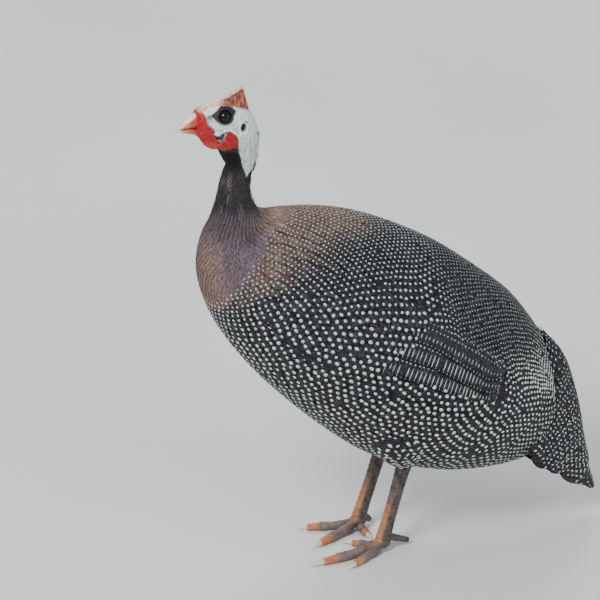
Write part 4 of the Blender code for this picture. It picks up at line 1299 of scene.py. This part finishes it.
def covered(points):
    """Whether points of the body lie deep under the folded wings."""
    y, z = points[..., 1], points[..., 2]
    a = np.clip(np.interp(y, [p[0] for p in WING_UPPER], [0, 1, 2, 3, 4, 5]), 0, 5)
    upper, lower = curve(WING_UPPER, a), curve(WING_LOWER, a)
    wing = (z < upper[..., 1] - 14) & (z > lower[..., 1] + 9) & (y > -70) & (y < 92)
    return wing & (np.abs(points[..., 0]) > 10)


def hair_pitch(points):
    """The spacing of the hair-like feathers of neck and collar."""
    return 2.4 + 0.9 * smooth(0.0, 30.0, -points[..., 2] + 345.0)


def halves(name, points):
    """The names of a piece's left and right half, each with which of the points it has."""
    return (f"{name}_left", points[:, 0] > 0), (f"{name}_right", points[:, 0] <= 0)


def body_coat(plumage, neck_coat, pearls):
    """The body's feathers in rows, in two halves, their pearls, and the neck's fine coat."""
    rng = np.random.default_rng(SEED)
    roots = rows_of_roots(body, NECK_START + 1.5, 0.4, 0.0, math.tau, SEED, True)
    points = body.point(roots)
    good = ~covered(points) & (beyond(COLLAR_LINE, points) < 5.0)
    roots, points = roots[good], points[good]
    tone = rng.uniform(0.88, 1.12, len(roots))
    for name, chosen in halves("coat", points):
        here, place = roots[chosen], points[chosen]
        size = pitch(place)
        tip = 1.0 - 0.5 * smooth(-4.0, 4.0, beyond(COLLAR_LINE, place)) + rng.uniform(-0.12, 0.12, len(size))
        vanes = grow(body, "plain", here, size * 2.1, backwards, size * 0.68, -0.6, tip, 0.1, 0.0)
        paint = feather_paint(ground_colour(place), tone[chosen], 0.3)
        make_piece(name, vanes.mesh(6, 0.22, paint, body_bake(here)), plumage, "plumage")

    roots = rows_of_roots(body, NECK_START + 1.5, 0.2, 0.0, math.tau, SEED + 1, True, spacing, *HEXAGONAL)
    points = body.point(roots)
    front = beyond(COLLAR_LINE, points)
    shown, level = over_wing(points, 1.1 - 0.5 * smooth(-4.0, 4.0, front))
    good = shown & (front < -3.5) & (rng.random(len(roots)) < 0.975)
    roots, level = roots[good], level[good]
    for name, chosen in halves("pearls", points[good]):
        here = roots[chosen]
        dots = pearl_drops(body, here, level[chosen], backwards, body_bake(here), SEED + 3)
        make_piece(name, dots, pearls, "plumage")

    roots = rows_of_roots(body, HEAD_START + 3.0, 9.0, 0.0, math.tau, SEED + 2, True, hair_pitch)
    points = body.point(roots)
    good = (beyond(COLLAR_LINE, points) > -2.5) & (bare(points) < 0.3)
    roots, points = roots[good], points[good]
    tone = rng.uniform(0.93, 1.07, len(roots)) * (1 + 0.15 * wander(points * (1.0, 1.0, 0.3), 9.0, 61))
    low = fade(320, 350, points[:, 2])
    tip = 0.5 + 0.4 * low + rng.uniform(-0.15, 0.3, len(roots))
    vanes = grow(body, "hair", roots, 7.5 + 6.0 * low, backwards, 1.1 + 0.5 * low, -0.5, tip, 0.1, 0.0)
    mesh = vanes.mesh(5, 0.15, feather_paint(ground_colour(points), tone, 0.1, 0.9), body_bake(roots))
    make_piece("coat_neck", mesh, neck_coat, "neck_plumage")
    neck_strip(neck_coat)


def neck_strip(neck_coat):
    """The thin line of upright hair-like feathers down the back of the bare nape."""
    rng = np.random.default_rng(SEED + 20)
    count = 260
    along = rng.uniform(NECK_START + 4.5, HEAD_START + 3.2, count)
    roots = np.stack([along, rng.normal(size=count) * 0.1], axis=-1)
    reach = rng.uniform(6.0, 10.0, count)
    vanes = grow(body, "hair", roots, reach, backwards, 0.45, -0.3, rng.uniform(0.8, 2.6, count), 0.05, 0.0)
    paint = feather_paint(np.tile(srgb(THROAT), (count, 1)), rng.uniform(0.8, 1.3, count), 0.2)
    make_piece("coat_nape", vanes.mesh(5, 0.12, paint, body_bake(roots)), neck_coat, "neck_plumage")


def wing_coat(side, name, plumage, pearls):
    """Coverts in rows over the wing, and the long secondaries with barred outer webs."""
    surface = Wing(side)
    rng = np.random.default_rng(SEED + 5)
    parts = []

    def add(kind, roots, length, rows, tones, *shape):
        vanes = grow(surface, kind, roots, length, lie_along(1, 0.1), *shape, limits=(-0.05, 1.0))
        bake = body_bake(surface.on_body(roots))
        bake[:, 0] = bake[:, 0] if side > 0 else 1 - bake[:, 0]
        paint = feather_paint(ground_colour(surface.point(roots)), rng.uniform(*tones, len(roots)))
        parts.append(vanes.mesh(rows, 0.25, paint, bake))
        return vanes, bake

    # Long feathers first, then the coverts over their roots.
    b = (np.arange(SECONDARIES) + 0.5) / SECONDARIES
    width = 88.0 / SECONDARIES * 0.84
    long = add("long", np.stack([0.38 - 0.12 * b, b], axis=-1), 150.0 + 14.0 * b, 30, (0.92, 1.05),
               width, -1.0, wing_level(b) + 0.9, 0.25, -0.5 * side)
    dots = bars_on(*long, -side, rng)
    roots = rows_of_roots(surface, 0.56, -0.06, 0.02, 1.02, SEED + 6)
    roots = roots[(roots[:, 0] < 0.29 + 0.26 * (1 - roots[:, 1])) & (roots[:, 1] > 0.0)]
    a, b = roots.T
    size = pitch(surface.point(roots))
    tip = wing_level(b) + 0.9 + 0.5 * fade(0.0, 0.5, a) + rng.uniform(-0.1, 0.1, len(b))
    add("plain", roots, size * 2.1, 7, (0.88, 1.12), size * 0.6, wing_level(b) - 0.5, tip, 0.15, -0.06 * side)
    make_piece(f"coat_{name}", join(parts), plumage, "plumage", name)
    make_piece(f"pearls_{name}", join(dots), pearls, "plumage")


def bars_on(vanes, bake, low_edge, rng):
    """White cross bars on the outer webs of the lower secondaries with a line of dots above
    them, and short dashes on the upper ones."""
    dots = []
    bars = np.arange(4.0, 135.0, 3.9)
    which = np.repeat(np.arange(SECONDARIES), len(bars))
    share = 1 - np.tile(bars, SECONDARIES) / vanes.lengths()[which]
    barred = smooth(0.6, 2.0, which) * smooth(0.12, 0.28, 1 - share)
    count = len(which)
    for across, long, wide, bar_long, bar_wide in (
        (0.5, 0.6, 1.5, 0.52, 5.4), (-0.04, 0.75, 0.95, 1.0, 1.1),
        (-0.34, 0.55, 0.9, 0.6, 0.8), (0.86, 0.5, 1.0, 0.5, 0.5),
    ):
        at = share + rng.normal(size=count) * 0.0012
        w = across * low_edge + rng.normal(size=count) * 0.012
        breadth = (wide + (bar_wide - wide) * barred) * rng.uniform(0.85, 1.1, count)
        narrow = (long + (bar_long - long) * barred) * rng.uniform(0.85, 1.12, count)
        shade = (rng.uniform(0.42, 0.7, count) * (0.75 + 0.25 * barred))[:, None]
        keep = (rng.random(count) < 0.95) & (share > 0.06) & (which > 0) & (which < SECONDARIES - 1)
        picked = [values[keep] for values in (which, at, w, narrow, breadth, srgb(PEARL) * shade)]
        dots.append(vanes.drops(*picked, bake))
    return dots


def tail_bake(roots):
    return np.stack([roots[:, 1] * 0.2 + 0.5, 0.88 + 0.08 * roots[:, 0]], axis=-1)


def tail_coat(plumage, pearls):
    """The tail's vanes in tiers over the core, and coverts under it."""
    rng = np.random.default_rng(SEED + 9)
    parts, dots = [], []

    def add(surface, kind, roots, length, rows, size, radius, spread, *shape):
        vanes = grow(surface, kind, roots, length, lie_along(1), *shape, 0.0, limits=(-0.5, 1.0))
        tone = rng.uniform(0.75, 1.2, len(roots))
        paint = feather_paint(ground_colour(surface.point(roots)), tone)
        parts.append(vanes.mesh(rows, 0.28, paint, tail_bake(roots)))
        size = np.broadcast_to(size, len(roots))
        dots.append(pearls_on(vanes, size, spread, radius, int(rng.integers(1000)), tail_bake(roots)))

    for start, length, width, count, edge in (
        (0.44, 92.0, 8.0, 9, 0.84), (0.30, 90.0, 8.0, 10, 0.86), (0.14, 84.0, 7.6, 11, 0.88),
    ):
        b = np.linspace(-edge, edge, count) + rng.normal(size=count) * 0.01
        roots = np.stack([start + rng.normal(size=count) * 0.006, b], axis=-1)
        reach = length * (1.0 - 0.16 * np.abs(b)) * rng.uniform(0.95, 1.05, count)
        top = 0.6 + (0.44 - start) * 1.6 + rng.uniform(-0.15, 0.15, count)
        add(Tail(), "long", roots, reach, 14, 8.6, 0.1, np.arange(0.35, 9.0, 0.62),
            width, top - 1.6, top, 0.4)
    roots = rows_of_roots(Tail(), 0.7, -0.42, -0.98, 0.98, SEED + 10)
    size = pitch(Tail().point(roots))
    rise = fade(-0.42, -0.04, roots[:, 0])
    add(Tail(), "plain", roots, size * 2.3, 6, size, 0.1, (0.24,),
        size * 0.62, 0.9 - 8.5 * rise, 2.7 - 7.0 * rise, 0.15)
    roots = rows_of_roots(UnderTail(), 0.74, -0.3, -0.68, 0.68, SEED + 11)
    size = pitch(UnderTail().point(roots))
    add(UnderTail(), "plain", roots, size * 2.6, 6, size, 0.12, (0.24,), size * 0.64, -0.9, 1.0, 0.2)
    roots = rows_of_roots(Tail(), 0.1, -0.16, -0.9, 0.9, SEED + 14, False, spacing, *HEXAGONAL)
    a = roots[:, 0]
    level = np.maximum(0.9 - 8.5 * fade(-0.42, -0.04, a), 2.7 - 7.0 * fade(-0.42, -0.04, a - 0.2)) + 0.3
    dots.append(pearl_drops(Tail(), roots, level, lie_along(1), tail_bake(roots), SEED + 15))
    make_piece("coat_tail", join(parts), plumage, "plumage", "tail")
    make_piece("pearls_tail", join(dots), pearls, "plumage")


def thigh_coat(name, leg, plumage, pearls):
    """Rows of small feathers round the thigh, down to the hock."""
    rng = np.random.default_rng(SEED + 13)
    surface = thigh_surface(leg)
    roots = rows_of_roots(surface, 4.8, 0.3, 0.0, math.tau, SEED + 12, True)
    roots = roots[~body.holds(surface.point(roots), -10.0)]
    points = surface.point(roots)
    size = pitch(points)
    length = np.minimum(size * 2.1, 8.0 + roots[:, 0] * 14.0)
    vanes = grow(surface, "plain", roots, length, lie_along(-1), size * 0.6, -0.9, 1.0, 0.15, 0.0,
                 limits=(-0.2, 5.0))
    side = math.copysign(0.25, leg["ankle"][0])
    bake = np.stack([0.5 + side + 0.1 * np.cos(roots[:, 1]), 0.76 + 0.016 * roots[:, 0]], axis=-1)
    paint = feather_paint(ground_colour(points), rng.uniform(0.8, 1.2, len(roots)))
    make_piece(f"coat_{name}", vanes.mesh(8, 0.25, paint, bake), plumage, "plumage")
    make_piece(f"pearls_{name}", pearls_on(vanes, size, (0.24,), 0.135, SEED + 3, bake), pearls, "plumage")


# Head pieces

def ring_piece(name, rings, lean, rows, columns, colour_of, material, slot, relief=None):
    """A piece through rings that run along the bird, with its relief and its colours."""
    surface = Rings(rings, lean)
    place = grid(np.linspace(0.0, surface.last, rows), round_turn(columns))
    points = surface.point(place)
    if relief is not None:
        points = points + surface.normal(place) * relief(points)[..., None]
    # A tube's own winding looks outwards where the rings run forwards, along -Y.
    order = 1 if rings[0][0][0] > rings[-1][0][0] else -1
    points, quads, tris = tube_mesh(points)
    mesh = painted((points, quads[:, ::order], tris[:, ::order]), colour_of)
    make_piece(name, mesh, material, slot, name)


def helmet_top(y):
    """The height of the helmet's ridge at y."""
    return np.interp(y, *zip(*sorted(ring[1] for ring in HELMET)))


def helmet_colour(points):
    """Painted sunlight in cream along the ridge, pale brow in front, red-brown sides and orange at the base.
    """
    y, z = points[..., 1], points[..., 2]
    under = helmet_top(y) - z
    low = fade(0.2, 3.4, z - 431.5 - 0.42 * (y + 127))
    streaks = smooth(-0.3, 0.5, wander(points * (1.0, 1.0, 0.35), 2.4, 9, 2))
    fore = fade(-137, -129, y)
    lines = smooth(0.0, 0.6, wander(points * (1.0, 0.25, 1.5), 2.2, 6, 2))
    edge = fade(1.2, 2.6, under + 0.5 * wander(points, 3.0, 27)) * fade(-113.5, -111.5, y)
    return layers(
        "74352a",
        ("4c1c16", smooth(-0.3, 0.5, wander(points * (1.0, 1.0, 0.5), 5.0, 3))),
        ("41160f", 0.6 * smooth(-119.5, -113, y)),
        ("d9773c", 0.85 * low * streaks),
        (mix("e8c4ae", "b4604e", 0.7 * lines * smooth(0.8, 2.2, under)), fore),
        ("93392f", 0.85 * fore * bell(inside(PALE_BROW, points), -1.3, 0.8)),
        # painted sunlight: cream along the ridge's top edge
        (mix("f2dcc4", "e8a27c", smooth(-138, -122, y) * 0.6), edge),
        ("8d4434", 0.8 * fade(424, 428, z) * smooth(-122, -116, y)),
    )


def helmet_relief(points):
    """The helmet's raised ridge and its uneven horn."""
    ridge = fade(0.4, 2.2, np.abs(points[..., 0])) * smooth(430, 436, points[..., 2])
    grain = 0.25 * wander(points * (1.0, 1.0, 0.5), 3.0, 19) + 0.1 * wander(points, 1.0, 21, 2)
    return 0.35 * ridge + grain


def bill_colour(points):
    """Painted sunlight in cream along the ridge, cream at the tip, pink-tan on the sides, redder at the base.
    """
    y, z = points[..., 1], points[..., 2]
    under = np.interp(y, (-174.2, -171.2, -166.7, -161.3, -156.0), (408.8, 413.9, 417.7, 420.9, 423.4)) - z
    return layers(
        "c98a70",
        ("b06f5c", smooth(-0.3, 0.6, wander(points, 5.0, 2))),
        ("bb2f2a", 0.85 * smooth(-167, -156.5, y)),
        # painted sunlight: cream along the bill's ridge
        ("f8e8bc", fade(2.4, 4.6, under + 0.25 * np.clip(y + 165, 0, None))),
        ("f1dcae", 0.85 * fade(-171.5, -166, y)),
    )


def wattle_piece(name, side, material):
    """Two lobes of folded red skin at the jaw's side."""
    def front_red(points):
        z = points[:, 2]
        return layers(
            rear_red(points),
            # painted highlight: lighter pink on the upper part of the front lobe
            (PINK, 0.45 * smooth(404.5, 409.0, z) * smooth(0.0, 0.6, wander(points, 3.5, 15))),
            ("d2442a", 0.45 * fade(398.0, 403.0, z)),
        )

    def rear_red(points):
        return mix(RED, RED_DEEP, smooth(0.0, 0.9, wander(points, 3.0, 12)))

    parts = []
    for stations, seed, tone in ((WATTLE_FRONT, 3, front_red), (WATTLE_REAR, 4, rear_red)):
        t = np.linspace(0.0, len(stations) - 1, 40)
        path = curve([station[0] for station in stations], t)
        depth, thick = curve([station[1:] for station in stations], t).T
        rings = path_rings(path, thick, depth, 40)
        folds = 0.35 * wander(rings * (0.5, 1.0, 0.6), 3.2, seed) + 0.15 * wander(rings, 1.2, seed + 5, 2)
        rings = rings + unit(rings - path[:, None]) * folds[..., None]
        parts.append(painted(mirrored(tube_mesh(rings), side), tone))
    make_piece(name, join(parts), material, "wattle_skin", name)


def ball_rings(rows, columns, radii=(1.0, 1.0, 1.0)):
    """Rings of a ball from pole to pole along the first axis, and how far up each one is."""
    lift = np.linspace(-math.pi / 2, math.pi / 2, rows + 2)[1:-1][:, None]
    turn = round_turn(columns)
    rings = [np.sin(lift) * np.ones(columns), np.cos(lift) * np.cos(turn), np.cos(lift) * np.sin(turn)]
    return np.stack(rings, axis=-1) * radii, lift


def eye_piece(name, side):
    """A sphere of the eye's real size, its cornea a little raised along the eye's axis."""
    rings, lift = ball_rings(48, 64)
    axis = unit(np.array(EYE_AXIS))
    one = unit(np.cross((0.0, 0.0, 1.0), axis))
    radius = EYE_RADIUS + 0.3 * bell(math.pi / 2 - lift, 0.0, 0.4)
    rings = (rings * radius[..., None]) @ np.stack([axis, one, np.cross(axis, one)])
    mesh = mirrored(tube_mesh(rings + EYE_CENTRE), side)
    make_piece(name, (*mesh, None, None), eye_material(name, side), "eye", name)


# Legs

def leg_colour(points):
    """Grey-brown scales, and painted sunlight in orange down the front of the shank's lower half."""
    y, z = points[..., 1], points[..., 2]
    middle = np.where(points[..., 0] > 0, 4.0 + 0.291 * (z - 12.0), -2.0 + 0.311 * (z - 12.0))
    return layers(
        "5b504c",
        ("3a3230", smooth(-0.2, 0.7, wander(points, 9.0, 51))),
        ("96867c", 0.45 * smooth(0.2, 0.9, wander(points, 3.0, 52))),
        # painted sunlight: orange on the front of the shank's lower half
        ("d08a5c", 0.8 * smooth(1.5, 4.5, middle - y) * fade(30, 58, z) * smooth(7.0, 13.0, z)),
    )


def plated(path, rings, low, high, toward, count, rise, groove=(0.0, 0.5, 1.0), rough=0.0):
    """Rings along a limb with count plates on the side that faces toward, from low to high
    of its slope: each plate rises to its end and a groove follows. The rest is roughened."""
    out = unit(rings - path[:, None])
    front = smooth(low, high, out @ np.array(toward))
    phase = (np.linspace(0.0, 1.0, len(path)) * count)[:, None] % 1.0
    step = rise * phase ** 1.5 - groove[0] * bell(phase, *groove[1:])
    return rings + out * (front * step + (1 - front) * rough)[..., None]


def shank_part(leg):
    """The shank: scutes down its front, each a raised step, and small scales behind."""
    share = np.linspace(0.0, 1.0, SCUTE_COUNT * 10 + 1)
    hock, ankle = np.array(leg["hock"]), np.array(leg["ankle"])
    path = hock + (ankle - hock) * share[:, None]
    widths, depths = curve(np.stack([SHANK_WIDTH, SHANK_DEPTH], axis=-1), share * 4).T
    rings = path_rings(path, widths, depths, 44)
    back = 0.25 * wander(rings, 3.0, 61, 2)
    groove = (0.35, 0.98, 0.07)
    return tube_mesh(plated(path, rings, 0.2, 0.8, (0.0, -1.0, 0.0), SCUTE_COUNT, 0.55, groove, back))


def on_floor(rings, floor=0.0):
    """A tube through rings, flat where it rests on the floor."""
    rings[..., 2] = np.maximum(rings[..., 2], floor)
    return tube_mesh(rings)


def toe_part(start, tip, radius):
    """A toe: plates across its top, pads below, flat where it rests on the floor."""
    share = np.linspace(0.0, 1.0, TOE_PLATES * 9 + 1)
    heights = (8.6, radius * 1.04, radius * 0.92, radius * 0.74)
    flat = start + (tip - start) * share[:, None]
    path = np.column_stack([flat, np.interp(share, (0.0, 0.3, 0.55, 1.0), heights)])
    pads = 1.0 + 0.09 * np.cos(share * math.tau * 3)
    widths = radius * np.interp(share, (0.0, 0.8, 1.0), (1.0, 0.86, 0.62)) * pads
    widths *= round_end(share, 0.07, 0.1)
    rings = path_rings(path, widths, widths * 0.98, 32, (*across_of(tip - start), 0.0))
    rough = 0.12 * wander(rings, 2.0, 71, 2)
    return on_floor(plated(path, rings, 0.1, 0.7, (0.0, 0.0, 1.0), TOE_PLATES, 0.4, (0.3, 0.97, 0.09), rough))


def across_of(run):
    return run[1], -run[0]


def claw_part(start, tip, radius, length):
    """A claw: an arched, pointed tube that comes down to the floor."""
    direction = unit(tip - start)
    share = np.linspace(0.0, 1.0, 18)
    ahead = np.array([*direction, 0.0]) * (-1.2 + (length + 1.2) * share)[:, None]
    path = np.array([*tip, radius * 0.74]) + ahead
    path[:, 2] += 0.9 * np.sin(share * math.pi) - (radius * 0.74 - 0.8) * share ** 2
    widths = radius * 0.56 * (1 - share) ** 0.75 + 0.2
    return on_floor(path_rings(path, widths * 0.8, widths, 20, (*across_of(direction), 0.0)))


def foot(side_name, leg, scales, horn):
    """Shank with knuckle, toes and claws of one leg."""
    def add(name, mesh, tone, material, slot):
        name = f"{name}_{side_name}"
        make_piece(name, painted(mesh, tone), material, slot, name)

    x, y, z = leg["ankle"]
    start = np.array([x, y - 1.0])
    knuckle = tube_mesh(ball_rings(24, 32, (6.4, 7.6, 6.0))[0] + (x, y - 1.0, z - 3.2))
    shank = join([painted(part, leg_colour) for part in (shank_part(leg), knuckle)])
    make_piece(f"shank_{side_name}", shank, scales, "leg_scales", f"shank_{side_name}")
    for toe, (tip, radius, claw) in leg["toes"].items():
        tip = np.array(tip)

        def toe_colour(points):
            along = np.linalg.norm(points[..., :2] - start, axis=-1) / np.linalg.norm(tip - start)
            # painted sunlight: orange on the toe's end before the claw
            orange = 0.85 * smooth(0.7, 0.82, along) * (1 - 0.6 * smooth(0.95, 1.05, along))
            # painted highlight: pale pink-grey along the toe's outer part, under the painted sunlit orange
            return layers(leg_colour(points), ("a3908a", 0.5 * smooth(0.15, 0.5, along)), ("dc8450", orange))

        add(f"toe_{toe}", toe_part(start, tip, radius), toe_colour, scales, "leg_scales")
        add(f"claw_{toe}", claw_part(start, tip, radius, claw), IVORY, horn, "claw_horn")
    toe, claw = hind_toe(np.array(leg["ankle"]), np.array([*leg["hind"], 4.2]))
    add("toe_hind", toe, leg_colour, scales, "leg_scales")
    add("claw_hind", claw, IVORY, horn, "claw_horn")


def hind_toe(ankle, end):
    """The short hind toe, raised at its root, and its claw."""
    start = ankle + (0.0, 2.0, 2.0)
    share = np.linspace(0.0, 1.0, 46)
    path = start + (end - start) * share[:, None]
    widths = np.interp(share, (0.0, 1.0), (3.6, 2.3)) * round_end(share, 0.1, 0.1)
    rings = plated(path, path_rings(path, widths, widths, 28), 0.0, 0.6, (0.0, 0.0, 1.0), 5, 0.35)
    share = np.linspace(0.0, 1.0, 16)
    line = end + unit(end - start) * (-1.0 + 8.0 * share)[:, None]
    line[:, 2] += 0.6 * np.sin(share * math.pi)
    widths = 1.9 * (1 - share) ** 0.8 + 0.15
    return on_floor(rings), on_floor(path_rings(line, widths, widths, 18), 0.4)


# The room

def floor_material():
    shader = Shader("studio floor")
    shade = shader.range(shader.noise(3.0), 0.3, 0.7, 0.97, 1.03)
    inputs = {0: shade * 0.80, 1: shade * 0.80, 2: shade * 0.79}
    return shader.set(0.9, 0.5, Base_Color=shader.node("ShaderNodeCombineColor", {}, inputs))


FLOOR_HALF = 6.0


def make_room():
    """A plain pale floor, three soft lamps and the camera."""
    corners = [(x * FLOOR_HALF, y * FLOOR_HALF, 0.0) for x, y in ((-1, -1), (1, -1), (1, 1), (-1, 1))]
    mesh = bpy.data.meshes.new("studio_floor")
    mesh.from_pydata(corners, [], [(0, 1, 2, 3)])
    mesh.materials.append(floor_material())
    floor = bpy.data.objects.new("studio_floor", mesh)
    bpy.context.scene.collection.objects.link(floor)

    world = bpy.data.worlds.new("soft room")
    world.use_nodes = True
    background = world.node_tree.nodes["Background"]
    background.inputs["Color"].default_value = (0.90, 0.95, 1.0, 1.0)
    background.inputs["Strength"].default_value = 0.55
    bpy.context.scene.world = world
    target = np.array([0.0, -0.02, 0.25])
    for name, place, size, power in (
        ("key", (1.5, -1.6, 2.3), 1.1, 70.0),
        ("fill", (1.9, 1.8, 1.2), 1.8, 16.0),
        ("rim", (-1.6, 0.4, 2.0), 1.2, 22.0),
    ):
        light = bpy.data.lights.new(name, "AREA")
        light.shape = "DISK"
        light.size = size
        light.energy = power
        lamp = bpy.data.objects.new(name, light)
        lamp.location = place
        aim_at(lamp, target)
        bpy.context.scene.collection.objects.link(lamp)

    azimuth, elevation = math.radians(72.0), math.radians(25.0)
    level = math.cos(elevation)
    away = np.array([math.sin(azimuth) * level, -math.cos(azimuth) * level, math.sin(elevation)])
    lens = bpy.data.cameras.new("camera")
    lens.lens = 988.0
    camera = bpy.data.objects.new("camera", lens)
    aim = np.array([0.0, -0.0775, 0.236])
    camera.location = aim + away * 14.0
    aim_at(camera, aim)
    bpy.context.scene.collection.objects.link(camera)
    bpy.context.scene.camera = camera


def aim_at(obj, target):
    """Turns obj so that its -Z axis points to target and its Y axis up."""
    back = unit(np.array(obj.location) - np.asarray(target))
    right = unit(np.cross((0.0, 0.0, 1.0), back))
    up = np.cross(back, right)
    turn = np.array([right, up, back]).T
    elevation = math.acos(np.clip(turn[2, 2], -1, 1))
    obj.rotation_euler = (elevation, 0.0, math.atan2(back[0], -back[1]))


def main():
    plumage, neck_coat, pearls = plumage_material(), bristle_material(), pearl_material()
    make_piece("skin", skin_parts(), skin_material(), "face_skin",
               "torso", "neck", "head", "thigh_left", "thigh_right")
    body_coat(plumage, neck_coat, pearls)
    for name, side in (("wing_left", 1), ("wing_right", -1)):
        wing_coat(side, name, plumage, pearls)
    tail_coat(plumage, pearls)
    for name, leg in LEGS.items():
        thigh_coat(f"thigh_{name}", leg, plumage, pearls)
    ring_piece("helmet", HELMET, 0.45, 90, 72, helmet_colour, horn_material("helmet horn", 0.5, 420.0),
               "helmet_horn", helmet_relief)
    bill = horn_material("bill horn", 0.36, 300.0)
    ring_piece("bill_upper", BILL_UPPER, 0.0, 70, 48, bill_colour, bill, "bill_horn")
    ring_piece("bill_lower", BILL_LOWER, 0.0, 50, 40, bill_colour, bill, "bill_horn")
    red = wattle_material()
    for name, side in (("left", 1), ("right", -1)):
        wattle_piece(f"wattle_{name}", side, red)
        eye_piece(f"eye_{name}", side)
    scales, claws = leg_material(), horn_material("claw horn", 0.4, 500.0)
    for name, leg in LEGS.items():
        foot(name, leg, scales, claws)
    make_room()


main()
